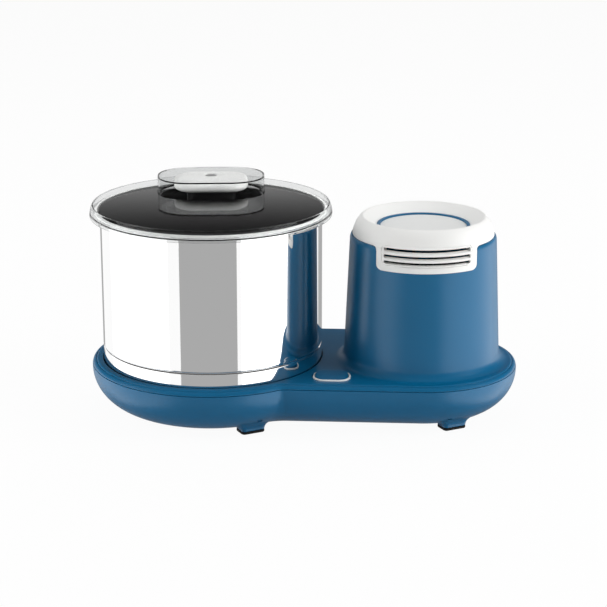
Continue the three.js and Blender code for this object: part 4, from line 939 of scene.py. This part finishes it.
class GRINDER_OT_vented_cap(Operator):
    """Make the pale cap with its vent apron, and the ring and disc in its dish"""
    bl_idname = "grinder.vented_cap"
    bl_label = "Vented Cap"
    bl_options = {"REGISTER", "UNDO"}

    def execute(self, context):
        base, tower = sizes(context, "base", "tower")
        crest, dish = (tower.crest_radius, tower.crest_z), (tower.dish_radius, tower.dish_z)
        self.deck_z = base.deck_z
        self.shoulder = curve((tower.cap_radius, tower.cap_z), (73.6, tower.crest_z - 4.4), crest, 24)
        basin = curve(crest, (dish[0] + 6.1, dish[1] + 3.2), dish, 24)
        floor_z = dish[1] - 1.6
        plug = tower.rim_radius - base.wall - 0.4
        cap = lathe([
            (0, floor_z - 2.2), (dish[0] + 1.2, floor_z - 2.2, 1), (crest[0], crest[1] - 3.8, 1.2),
            (plug - 2.4, tower.cap_z + 6), (plug - 2.4, tower.cap_z - 6), (plug, tower.cap_z - 6),
            (plug, tower.cap_z), (tower.cap_radius - 0.4, tower.cap_z), *self.shoulder[1:-2],
            (crest[0], crest[1] + 0.1, 1.6), *basin[3:], (dish[0], floor_z), (0, floor_z)])
        cap = carved(cap, [moved(stack(92, 40, 2, [(0, 180), (0, 203.4)]), 0, -78)])
        whole = turned(joined(cap, self.apron(tower)), tower.group.apron_turn)
        add_piece("vented_cap", moved(whole, MOTOR_X), "white_plastic", "base", "top_cap")
        ring = lathe([(46.8, 209.2), (50.3, 209.2), (50.3, 210.9, 0.3), (49.6, 211.5, 0.3),
                      (46.8, 211.4, 0.4)], MOTOR_X)
        add_piece("dish_ring", ring, "blue_plastic", "base", "cap_ring")
        disc = lathe([(0, 209.1), (46.5, 209.1), (46.5, 209.7, 0.3), (45, 209.75), (0, 209.95)], MOTOR_X)
        add_piece("dish_disc", disc, "pale_grey_plastic", "base", "cap_disc")
        return {"FINISHED"}

    def carrier(self, tower, z):
        """Radius of what the apron lies on, at a height: the tower, its shoulder, then the cap."""
        if z < tower.shoulder_z:
            return tower_radius(tower, self.deck_z, z)
        if z < tower.cap_z:
            share = (z - tower.shoulder_z) / (tower.cap_z - tower.shoulder_z)
            return tower.top_radius + (tower.cap_radius - tower.top_radius) * share ** 1.6
        for (r1, z1), (r2, z2) in zip(self.shoulder, self.shoulder[1:]):
            if z <= z2:
                return r1 + (r2 - r1) * (z - z1) / (z2 - z1)
        return self.shoulder[-1][0]

    def apron(self, tower):
        """The apron, drawn flat with its frame and slots and then laid round the tower."""
        bm = bmesh.new()
        back, edge = 3.4, 0.45
        face = apron_outline(bm, tower, -edge, 0)
        side = next_ring(bm, face)
        self.spread(ring_verts(side), edge, tower)
        rear = next_ring(bm, side)
        bmesh.ops.translate(bm, verts=ring_verts(rear), vec=(0, back, 0))
        half, low, high = 46.5, 184.5, 203.8
        frame_rings = bridged(bm, [
            self.panel(bm, half + grow, low - grow, high + grow, 5 + grow, -lift)
            for grow, lift in ((1.3, 0), (1.1, -1), (0.4, -1), (-0.1, 1.3), (-0.9, 1.5))])
        mouths, ends = [], []
        for z in (199.8, 193.2, 186.6):
            rings = bridged(bm, [
                self.panel(bm, 44.6 + reach, z - 2 - grow + rise, z + 2 + grow, 1.2 + grow, depth)
                for grow, depth, rise, reach in ((0.3, -1.3, 0, 0.3), (0.08, -1.15, 0, 0.08), (0, -0.8, 0, 0),
                                                 (0, back, 0.9, 1.8))])
            mouths += rings[0]
            ends += rings[-1]
        fill(bm, face + frame_rings[0])
        fill(bm, frame_rings[-1] + mouths)
        fill(bm, rear + ends)
        weld(bm)
        for number in range(-28, 29):
            sliced(bm, (number * 2.05, 0, 0), (1, 0, 0))
        for number in range(9):
            sliced(bm, (0, 0, 195 + number * 1.3), (0, 0, 1))
        for vert in bm.verts:
            self.wrap(vert, tower)
        return bm

    def spread(self, verts, grow, tower):
        """Moves an outline back, and outwards from the middle of the apron."""
        for vert in verts:
            outward = Vector((vert.co.x / tower.apron_half_width, 0, (vert.co.z - tower.cap_z) / 24))
            aside = math.copysign(min(abs(outward.x), 1) ** 8, outward.x) * grow
            vert.co += Vector((aside, grow, -grow if outward.z < -0.75 else 0))

    def panel(self, bm, half, low, high, corner, y):
        """Ring round a plate with round corners, seen from the front."""
        return draw(bm, [((x * half, y, z), corner)
                         for x, z in ((-1, low), (1, low), (1, high), (-1, high))], True)

    def wrap(self, vert, tower):
        """Lays a point of the flat apron on the tower, and lets its top and its corners run out into the cap."""
        x, y, z = vert.co
        height, fade, corner_x = 0.6, 4.5, 55.4
        proud = height - y
        over = max(0, (z - tower.rim_z) / (tower.cap_z + fade - tower.rim_z))
        if y <= 0.5:
            proud *= 1 - min(over, 1) ** 2
            proud -= 0.5 * max(0, over - 0.75) + max(0, abs(x) - corner_x) * 0.9
        carrier = self.carrier(tower, z)
        angle = math.asin(max(-1, min(1, x / carrier)))
        radius = carrier + proud
        vert.co = (radius * math.sin(angle), -radius * math.cos(angle), z)


class GRINDER_OT_drum(Operator):
    """Make the steel drum with its coupling, stone bed and centre tube"""
    bl_idname = "grinder.drum"
    bl_label = "Drum"
    bl_options = {"REGISTER", "UNDO"}

    def execute(self, context):
        [drum] = sizes(context, "drum")
        outer, inner = drum.radius, drum.radius - drum.wall
        foot, top, bead = drum.foot_z, drum.top_z, drum.bead_z
        shell = lathe([
            (outer - 0.4, foot), (outer, foot + 0.6, 0.3), (outer, foot + 8), (outer, bead - 3.2),
            *curve((outer, bead - 2.1), (outer - 0.05, bead - 1), (outer - 0.8, bead), 7),
            *curve((outer - 0.8, bead), (outer - 0.05, bead + 1), (outer, bead + 2.1), 7)[1:],
            (outer, bead + 4.1), (outer - 0.06, bead + 4.6), (outer, bead + 5.1),
            (outer, bead + 40), (outer, top - 40), (outer, top - 11), (outer - 0.1, top - 10.4),
            (outer, top - 9.8), (outer, top - 3), (outer, top, 0.5), (inner, top, 0.5),
            (inner, top - 20), (inner, 58.8, 1.4), (14, 58.8), (14, 57.3), (inner - 0.1, 57.3, 1.2),
            (inner, foot)], DRUM_X, WIDEST_STEPS)
        add_piece("steel_drum", shell, "polished_steel", "drum", "drum_shell")
        coupling = lathe([(0, 46), (28, 46, 0.8), (28, 57, 0.6), (0, 57)], steps=MEDIUM_STEPS)
        coupling = carved(coupling, [hexagon(20 + 0.4 / math.cos(math.pi / 6), 42, 20)])
        add_piece("drive_coupling", moved(coupling, DRUM_X), "black_plastic", "drum", "drum_coupling")
        bed = lathe([(31, 59.1, 0.4), (118, 59.1, 0.6), (118, drum.bed_z, 2), (31, drum.bed_z, 0.8)], DRUM_X)
        add_piece("bed_stone", bed, "granite", "drum", "stone_bed")
        tube = lathe([
            (13, 59.1), (30, 59.1), (30, 60.7, 0.5), (25.6, 60.7), (24.8, 62.6),
            *curve((24.6, 64), (21.4, 92), (18.2, 136)), (18, 138, 0.8), (13, 138, 0.5)], DRUM_X, MEDIUM_STEPS)
        add_piece("bowl_tube", tube, "food_white_plastic", "drum", "centre_tube")
        return {"FINISHED"}


class GRINDER_OT_drive_station(Operator):
    """Make the post, its bush and the drive hub that show when the drum is off"""
    bl_idname = "grinder.drive_station"
    bl_label = "Drive Station"
    bl_options = {"REGISTER", "UNDO"}

    def execute(self, context):
        [lid] = sizes(context, "lid")
        post = lathe([(0, 16.3), (24, 16.3, 0.5), (24, 20.3, 0.5), (8, 20.3, 1), (8, 149, 0.9), (0, 149)],
                     steps=POST_STEPS)
        flats = []
        for side in (-1, 1):
            flat = bmesh.new()
            bmesh.ops.create_cube(flat, size=1)
            bmesh.ops.scale(flat, vec=(6, 40, 20), verts=flat.verts[:])
            flats.append(moved(flat, side * 9.4, 0, 147))
        add_piece("fixed_post", seated(carved(post, flats), lid), "polished_steel", "base", "centre_post")
        bush = lathe([(8.4, 100.3), (12.6, 100.3, 0.5), (12.6, 138.3), (18, 138.3, 0.4), (18, 140.3, 0.6),
                      (8.4, 140.3, 0.5)], DRUM_X, POST_STEPS)
        add_piece("guide_bush", bush, "food_white_plastic", "carriage", "post_bush")
        body = lathe([(16.3, 21.3), (22, 21.3, 0.6), (22, 45, 0.8), (10, 45), (10, 44.3), (16.3, 44.3)],
                     steps=MEDIUM_STEPS)
        dog = hexagon(20, 44.5, 10.5)
        bmesh.ops.bevel(dog, geom=dog.edges[:], offset=0.8, offset_type="OFFSET", segments=3,
                        profile=0.5, affect="EDGES", material=-1)
        dog = carved(dog, [rod(10, 40, 60, POST_STEPS)])
        add_piece("hub_and_dog", moved(joined(body, dog), DRUM_X), "cast_aluminium", "hub", "drive_hub")
        return {"FINISHED"}


class GRINDER_OT_stones(Operator):
    """Make the rolling stones with their axles, bushes and nuts"""
    bl_idname = "grinder.stones"
    bl_label = "Rolling Stones"
    bl_options = {"REGISTER", "UNDO"}

    def execute(self, context):
        drum, lid = sizes(context, "drum", "lid")
        r = drum.stone_radius
        for side, angle in (("left", math.pi), ("right", 0)):
            def lay(bm):
                upright = turned(turned(bm, math.pi / 2, "Y"), lid.group.turn + angle)
                return moved(upright, DRUM_X, 0, drum.axle_z)
            axle = lathe([(0, 25.3), (6, 25.3, 0.5), (6, 108, 0.9), (0, 108)], steps=AXLE_STEPS)
            add_piece(f"{side}_stone_axle", lay(axle), "polished_steel", "holder", f"{side}_axle")
            stone = lathe([(10, 34.5, 0.6), (r - 6, 34.5, 1), (r, 38.5, 2.4), (r, 96.5, 2.4), (r - 6, 100.5, 1),
                           (10, 100.5, 0.6)], steps=MEDIUM_STEPS)
            add_piece(f"{side}_grinding_stone", lay(stone), "granite", f"{side}_stone", f"{side}_roller_stone")
            bush = lathe([(6.4, 34.5), (9.7, 34.5, 0.4), (9.7, 100.5, 0.4), (6.4, 100.5)], steps=SMALL_STEPS)
            add_piece(f"{side}_bore_bush", lay(bush), "food_white_plastic", f"{side}_stone", f"{side}_stone_bush")
            nut = lathe([(6.3, 101.5), (11, 101.5, 0.8), (11, 106.5, 1.2), (6.3, 106.5, 0.4)], steps=SMALL_STEPS)
            grips = [moved(rod(1.5, 0, 30, GRIP_STEPS), 11.9 * math.cos(turn), 11.9 * math.sin(turn), 90)
                     for turn in [math.pi / 4 * step for step in range(8)]]
            add_piece(f"{side}_cap_nut", lay(carved(nut, grips)), "black_plastic", "holder", f"{side}_axle_nut")
        return {"FINISHED"}


class GRINDER_OT_holder(Operator):
    """Make the stone holder, the wiper, the handle's arm and the lifting handle"""
    bl_idname = "grinder.holder"
    bl_label = "Stone Holder"
    bl_options = {"REGISTER", "UNDO"}

    def execute(self, context):
        drum, lid = sizes(context, "drum", "lid")
        bell_radius, arm_low, arm_high, knob_height = 31, 149.8, 158.8, 10.4
        bell = lathe([(8.35, 143, 0.3), (25, 143, 2.5), (25, 108, 0.8), (bell_radius, 108, 0.8),
                      (bell_radius, 132), (bell_radius, 149.5, 2.2), (8.35, 149.5, 0.5)], steps=MEDIUM_STEPS)
        bore = turned(rod(6.3, -60, 60, AXLE_STEPS), math.pi / 2, "Y")
        forms = [carved(bell, [moved(bore, 0, 0, drum.axle_z)])]
        for side in (-1, 1):
            collar = lathe([(6.3, 30.6), (10, 30.6), (9, 33.2, 0.5), (6.3, 33.2)], steps=SMALL_STEPS)
            forms.append(moved(turned(collar, side * math.pi / 2, "Y"), 0, 0, drum.axle_z))
        add_piece("holder_bell", seated(joined(*forms), lid), "food_white_plastic", "holder", "stone_holder")
        near, end = 31.3, drum.radius - drum.wall - 1.9
        blade = moved(stack(16, 5, 2.2, rounded_layers(81.1, 150, 0.7)), 0, -(end - 2.5))
        arm = stack(12, end - 3 - near, 1.2, rounded_layers(128, 134, 1.2))
        wiper = joined(blade, moved(arm, 0, -(near + end - 3) / 2))
        add_piece("drum_wiper", seated(wiper, lid), "food_white_plastic", "holder", "wall_wiper")
        ring = lathe([(10, arm_low, 0.5), (bell_radius, arm_low, 0.8), (bell_radius, arm_high, 1.6),
                      (10, arm_high, 0.8)], steps=MEDIUM_STEPS)
        reach, low, high = lid.box_y + 36, lid.handle_z, lid.handle_z + knob_height
        bar = moved(stack(40, reach, 10, rounded_layers(arm_low, arm_high, 1.4)), 0, reach / 2 - 10)
        bar = carved(bar, [rod(10.2, 140, 170, POST_STEPS)])
        stem = stack(54, 36, 10, [(-0.8, arm_low), (0, 150.6), (0, 222), (0.4, 226), (0.9, low - 1.2),
                                  (0.2, low - 0.3)])
        arm = carved(bar, [ring, moved(stem, 0, lid.box_y)], "UNION")
        add_piece("handle_stem", seated(arm, lid), "black_plastic", "holder", "handle_arm")
        layers = [(6 * (math.cos(turn) - 1), low + knob_height * (1 + math.sin(turn)) / 2)
                  for turn in [math.radians(-78 + 156 * step / 16) for step in range(17)]]
        knob = stack(82, 64, 22, [(layers[0][0] - 3, low), *layers, (layers[-1][0] - 3, high)])
        seat_hole = lathe([(0, high - 4), (7, high - 4), (7, high - 0.4), (7.5, high + 0.1), (7.5, high + 4),
                           (0, high + 4)], steps=SMALL_STEPS)
        knob = moved(carved(knob, [moved(seat_hole, 0, 9)]), 0, lid.box_y)
        add_piece("lifting_knob", seated(knob, lid), "white_plastic", "holder", "lift_handle")
        # Painted shade: a dished black plug sunk just below the top of the knob's dimple darkens the dimple's hollow
        plug = lathe([(0, high - 4), (6.95, high - 4, 0.4), (6.95, high - 0.7, 0.4), (6.1, high - 0.65, 0.5),
                      (3.2, high - 1.5, 1.2), (0, high - 1.6)], steps=SMALL_STEPS)
        add_piece("knob_plug", seated(moved(plug, 0, lid.box_y + 9), lid), "black_plastic", "holder", "lift_handle")
        return {"FINISHED"}


class GRINDER_OT_lid(Operator):
    """Make the clear lid, the dark panel and its ring"""
    bl_idname = "grinder.lid"
    bl_label = "Lid"
    bl_options = {"REGISTER", "UNDO"}

    def execute(self, context):
        [lid] = sizes(context, "lid")
        low, top = lid.plate_z, lid.plate_z + 2.3
        crest_z, brim_z = low + 10.2, low - 1.8
        inner, brim = lid.rim_radius, lid.brim_radius
        skin = lathe([
            (114, low), (115.6, low), (115.6, low - 6.3, 0.5), (118, low - 6.3, 0.5), (118, low),
            (inner + 4.9, low, 0.4), (brim - 1.5, brim_z - 0.3, 0.3), (brim - 0.1, brim_z - 0.3, 0.4),
            *curve((brim, brim_z + 0.4), (brim - 0.6, crest_z - 3), (brim - 3.2, crest_z - 0.2), 14),
            (brim - 3.7, crest_z, 0.2), (brim - 4.4, crest_z - 0.3, 0.3),
            *curve((brim - 4.5, crest_z - 0.8), (brim - 2.5, crest_z - 4), (brim - 1.8, top + 0.7), 10),
            (inner + 4.6, top, 0.3), (inner + 1.1, top, 0.2), (inner + 1.1, low + 0.6), (inner - 1.7, low + 0.6),
            (inner - 1.7, top), (inner - 2, top)], steps=WIDEST_STEPS, closed=False)
        box = (lid.box_width, lid.box_depth, lid.box_corner)
        shells = []
        for grow, foot, ceiling, rounding in ((0, top, lid.box_top_z, 0.6), (-1.8, low, lid.box_top_z - 1.8, 0.3)):
            rounded = [(grow - rounding * (1 - math.cos(turn)), ceiling - rounding * (1 - math.sin(turn)))
                       for turn in [math.pi / 2 * step / 6 for step in range(7)]]
            bm = bmesh.new()
            layers = [(grow, foot), *rounded, (grow - rounding - 1, ceiling)]
            bmesh.ops.contextual_create(bm, geom=layered(bm, box, layers, BOX_SEGMENTS)[1])
            shells.append(moved(bm, 0, lid.box_y))
        clear = closed_at(joined(skin, *shells), low, top)
        shell = add_piece("clear_lid", seated(clear, lid), "clear_plastic", "lid", "lid_clear")
        shell.visible_shadow = False
        low, high, radius = lid.panel_z, lid.panel_z + 1.9, lid.panel_radius
        edge = lathe([(radius - 3, low), (radius, low, 0.2), (radius, high - 0.7, 0.2), (radius - 1.5, high, 0.4),
                      (radius - 3, high)], steps=WIDEST_STEPS, closed=False)
        bm = bmesh.new()
        layered(bm, box, [(0.9, low), (0.4, low), (0.4, high - 0.3), (0.5, high - 0.08), (0.7, high), (1.2, high)],
                BOX_SEGMENTS)
        panel = closed_at(joined(edge, moved(bm, 0, lid.box_y)), low, high)
        add_piece("dark_panel", seated(panel, lid), "gloss_black_panel", "lid", "lid_panel")
        low = lid.plate_z + 0.7
        ring = lathe([(inner - 1.6, low), (inner + 1, low, 0.2), (inner + 1, high, 0.6), (inner - 1.6, high, 0.2)],
                     steps=WIDEST_STEPS)
        add_piece("edge_ring", seated(ring, lid), "pale_grey_plastic", "lid", "panel_ring")
        return {"FINISHED"}


class GRINDER_OT_switch(Operator):
    """Make the rocker key and its bezel"""
    bl_idname = "grinder.switch"
    bl_label = "Rocker Switch"
    bl_options = {"REGISTER", "UNDO"}

    def execute(self, context):
        [base] = sizes(context, "base")
        x, y = node_place("switch_bezel")
        width, depth, corner, inset = 40, 31, 13, 3
        low, high = base.deck_z + 0.05, base.deck_z + 1.65
        bezel = stack(width, depth, corner, [
            (0, low), (0, high - 0.8), (-0.1, high - 0.4), (-0.35, high - 0.1), (-0.7, high), (-1.4, high),
            (-1.75, high - 0.1), (-2.0, high - 0.45), (-2.1, low)], hollow=True)
        add_piece("white_bezel", moved(bezel, x, y), "white_plastic", "base", "switch_bezel")
        key = stack(width - 2 * inset, depth - 2 * inset, corner - inset, [
            (-1.2, -3.3), (0, -2), (0, -0.2), (0.5, 0.5), (0.55, 2.1), (0.4, 2.6), (0, 2.95),
            (-0.6, 3.1), (-1.8, 3.1)])
        # The key's two halves meet at its middle at an angle, which is rounded
        for place in (-0.5, 0, 0.5):
            sliced(key, (0, place, 0), (0, 1, 0))
        for vert in key.verts:
            if vert.co.z > 0:
                vert.co.z -= 0.055 * max(vert.co.y + 0.25, 0) * vert.co.z / 3.1
        key = turned(key, math.radians(7), "X")
        add_piece("rocker_key", moved(key, x, y, base.deck_z), "blue_plastic", "rocker", "switch_key")
        return {"FINISHED"}


class GRINDER_OT_fittings(Operator):
    """Make the pads, screws, mains gland and reset button"""
    bl_idname = "grinder.fittings"
    bl_label = "Fittings"
    bl_options = {"REGISTER", "UNDO"}

    def execute(self, context):
        [base] = sizes(context, "base")
        for number in FEET:
            x, y, angle = foot_place(number)
            pad = stack(*FOOT_SIZE, [(-2.2, 0), (-0.8, 0), (-0.25, 0.3), (0, 0.9), (0, 2.6), (-0.3, 3), (-1.5, 3)])
            pad = turned(carved(pad, [moved(stack(30, 1.4, 0.6, [(0, -1), (0, 0.8)]), 0, step * 3.2)
                                      for step in range(-2, 3)]), angle)
            add_piece(f"rubber_pad_{number}", moved(pad, x, y), "black_rubber", "base", f"foot_pad_{number}")
        for number in SCREWS:
            x, y = node_place(f"cover_screw_{number}")
            screw = lathe([(0, 14.8), (2.9, 14.8, 0.4), (3.2, 16.4), (3.2, 17.2), (1.7, 17.2), (1.7, 40.4),
                           (0, 41.2)], steps=AXLE_STEPS)
            screw = carved(screw, [turned(stack(4, 0.9, 0.3, [(0, 13), (0, 16)]), turn + 0.4)
                                   for turn in (0, math.pi / 2)])
            add_piece(f"closing_screw_{number}", moved(screw, x, y), "plain_steel", "base", f"cover_screw_{number}")
        gland, reset = middle("cord_gland"), middle("reset_body")
        collar = lathe([(3.8, -10), (8, -10, 0.6), (8, 0.3), (10.5, 0.3, 0.3), (10.5, 2.0), (9.6, 3.3, 0.4),
                        (4.6, 3.3, 0.5), (3.8, 2.4)], steps=SMALL_STEPS)
        add_piece("mains_gland", facing_back(collar, gland.x, base.motor_lobe - 1, gland.z),
                  "black_rubber", "base", "cord_gland")
        collar = lathe([(5.4, -14), (7, -14, 0.4), (7, 0.3), (8.5, 0.3), (8.5, 1.6), (7.6, 2.3, 0.3), (5.8, 2.3, 0.3),
                        (5.4, 1.9)], steps=SMALL_STEPS)
        wall_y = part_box("reset_body")[1].y / MM - 2.3
        add_piece("reset_collar", facing_back(collar, reset.x, wall_y, reset.z),
                  "black_plastic", "base", "reset_body")
        low, high = (corner.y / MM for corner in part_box("reset_button"))
        button = lathe([(0, 0), (5, 0, 0.4), (5, high - low, 1.1), (2.5, high - low), (0, high - low - 0.4)],
                       steps=SMALL_STEPS)
        add_piece("red_button", facing_back(button, reset.x, low, reset.z), "red_plastic", "reset", "reset_button")
        return {"FINISHED"}


class GRINDER_OT_inner_finishes(Operator):
    """Give the CAD nodes inside the housing their finishes"""
    bl_idname = "grinder.inner_finishes"
    bl_label = "Inner Finishes"
    bl_options = {"REGISTER", "UNDO"}

    def execute(self, context):
        for finish, names in KEPT_NODES.items():
            for name in names:
                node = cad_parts[name]
                if not node.material_slots:
                    node.data.materials.append(None)
                for slot in node.material_slots:
                    slot.material = finish_material(finish)
        return {"FINISHED"}


class GRINDER_OT_studio(Operator):
    """Make the floor, the lights, the mirrored cards and the camera"""
    bl_idname = "grinder.studio"
    bl_label = "Studio"
    bl_options = {"REGISTER", "UNDO"}

    def execute(self, context):
        studio = context.scene.grinder_studio
        self.world(context, studio)
        self.floor()
        self.card("front_card", (0.035, -3.2), 3.55, studio.card)
        self.card("back_card", (-0.12, 3), 3.44, studio.card)
        self.card("right_card", (2.38, -0.33), 5.3, studio.sheen)
        self.card("left_card", (-2.4, -0.42), 4, studio.sheen * 0.85)
        self.light(context, "right_light", (2.2, -0.5, 1.1), 1.6, studio.right)
        self.light(context, "left_light", (-2.2, -0.5, 0.9), 1.6, studio.left)
        self.light(context, "top_light", (0.1, 1.3, 2.0), 1.8, studio.top)
        self.camera(context)
        context.scene.view_settings.view_transform = "Standard"
        return {"FINISHED"}

    def world(self, context, studio):
        """White for the camera, a banded sky for mirrors and clear parts, and an even light for the rest."""
        world = bpy.data.worlds.new("white_studio")
        context.scene.world = world
        recipe = Recipe(world)
        path = recipe.node("ShaderNodeLightPath")
        seen = path["Is Camera Ray"]
        soft = path["Diffuse Depth"] > 0.5
        through = (path["Is Transmission Ray"] - soft).clamped()
        mirrored = (path["Is Glossy Ray"] - through - soft).clamped()
        toward = recipe.node("ShaderNodeTexCoord")["Generated"]
        height = recipe.node("ShaderNodeSeparateXYZ", {"Vector": toward})["Z"] * 0.5 + 0.5
        sky, beyond = recipe.ramp(height, MIRRORED_SKY), recipe.ramp(height, SKY_BEYOND)
        strength = seen + mirrored * sky + through * beyond + (1 - seen - mirrored - through) * studio.ambient
        back = recipe.node("ShaderNodeBackground", {"Color": (1, 1, 1, 1), "Strength": strength})
        recipe.node("ShaderNodeOutputWorld", {"Surface": back["Background"]})

    def floor(self):
        """A one-sided floor that is white to look at and takes faint shadows."""
        bm = bmesh.new()
        bmesh.ops.create_grid(bm, x_segments=1, y_segments=1, size=12)
        floor, recipe = self.add(bm, "studio_floor", "pale_floor")
        matt = recipe.node("ShaderNodeBsdfDiffuse", {"Color": (0.9, 0.9, 0.9, 1)})["BSDF"]
        path = recipe.node("ShaderNodeLightPath")
        looked_at = (path["Is Camera Ray"] + path["Is Glossy Ray"] + path["Is Transmission Ray"]).clamped()
        both = recipe.node("ShaderNodeMixShader", {0: looked_at * 0.95, 1: matt, 2: recipe.glow(1)})["Shader"]
        below = recipe.node("ShaderNodeNewGeometry")["Backfacing"]
        none = recipe.node("ShaderNodeBsdfTransparent")["BSDF"]
        recipe.output(recipe.node("ShaderNodeMixShader", {0: below, 1: both, 2: none})["Shader"])
        floor.visible_glossy = False

    def card(self, name, place, width, level):
        """An upright card below the floor's line, which only glossy surfaces see."""
        bm = bmesh.new()
        bmesh.ops.create_grid(bm, x_segments=1, y_segments=1, size=0.5)
        bmesh.ops.scale(bm, vec=(width, 2.5, 1), verts=bm.verts[:])
        turned(bm, math.pi / 2, "X")
        turned(bm, math.atan2(place[1], place[0]) + math.pi / 2)
        card, recipe = self.add(moved(bm, *place, -1.22), name, name)
        recipe.output(recipe.glow(level))
        card.visible_camera = False
        card.visible_diffuse = False
        card.visible_transmission = False
        card.visible_shadow = False

    def add(self, bm, name, material_name):
        """A thing of the studio, with a new material. Gives the thing and the material's recipe."""
        mesh = used_up(bm, name)
        material = bpy.data.materials.new(material_name)
        mesh.materials.append(material)
        thing = bpy.data.objects.new(name, mesh)
        bpy.context.scene.collection.objects.link(thing)
        return thing, Recipe(material)

    def light(self, context, name, place, size, power):
        data = bpy.data.lights.new(name, "AREA")
        data.shape = "SQUARE"
        data.size = size
        data.energy = power
        lamp = bpy.data.objects.new(name, data)
        self.aim(context, lamp, place, LIGHTS_AIM - Vector(place))
        lamp.visible_glossy = False

    def camera(self, context):
        data = bpy.data.cameras.new("photo_camera")
        data.sensor_width = SENSOR_WIDTH
        data.lens = CAMERA_LENS
        data.clip_end = 50
        camera = bpy.data.objects.new("photo_camera", data)
        across = math.cos(CAMERA_PITCH)
        self.aim(context, camera, CAMERA_PLACE, Vector((
            math.sin(CAMERA_YAW) * across, math.cos(CAMERA_YAW) * across, -math.sin(CAMERA_PITCH))))
        context.scene.camera = camera

    def aim(self, context, thing, place, direction):
        """Puts a light or a camera in its place, looking along a direction."""
        thing.location = place
        thing.rotation_euler = direction.to_track_quat("-Z", "Y").to_euler()
        context.scene.collection.objects.link(thing)


STEPS = (
    GRINDER_OT_lower_shell, GRINDER_OT_upper_cover, GRINDER_OT_vented_cap, GRINDER_OT_drum,
    GRINDER_OT_drive_station, GRINDER_OT_stones, GRINDER_OT_holder, GRINDER_OT_lid,
    GRINDER_OT_switch, GRINDER_OT_fittings, GRINDER_OT_inner_finishes, GRINDER_OT_studio,
)
GROUPS = {
    "grinder_base": BaseSizes, "grinder_tower": TowerSizes, "grinder_drum": DrumSizes,
    "grinder_lid": LidSizes, "grinder_finishes": Finishes, "grinder_studio": StudioSettings,
}


class GRINDER_PT_pieces(Panel):
    """Lists the steps that make the grinder and the values that they use"""
    bl_idname = "GRINDER_PT_pieces"
    bl_label = "Wet Grinder"
    bl_space_type = "VIEW_3D"
    bl_region_type = "UI"
    bl_category = "Grinder"

    def draw(self, context):
        for step in STEPS:
            self.layout.operator(step.bl_idname, text=step.bl_label)
        for name in GROUPS:
            group = getattr(context.scene, name)
            box = self.layout.box()
            for key in group.__annotations__:
                box.prop(group, key)


def register():
    for group in GROUPS.values():
        bpy.utils.register_class(group)
    for name, group in GROUPS.items():
        setattr(bpy.types.Scene, name, PointerProperty(type=group))
    for step in (*STEPS, GRINDER_PT_pieces):
        bpy.utils.register_class(step)


def unregister():
    for step in reversed((*STEPS, GRINDER_PT_pieces)):
        bpy.utils.unregister_class(step)
    for name in GROUPS:
        delattr(bpy.types.Scene, name)
    for group in reversed(list(GROUPS.values())):
        bpy.utils.unregister_class(group)


def main():
    register()
    bpy.ops.grinder.lower_shell()
    bpy.ops.grinder.upper_cover()
    bpy.ops.grinder.vented_cap()
    bpy.ops.grinder.drum()
    bpy.ops.grinder.drive_station()
    bpy.ops.grinder.stones()
    bpy.ops.grinder.holder()
    bpy.ops.grinder.lid()
    bpy.ops.grinder.switch()
    bpy.ops.grinder.fittings()
    bpy.ops.grinder.inner_finishes()
    bpy.ops.grinder.studio()


if __name__ == "__main__":
    main()
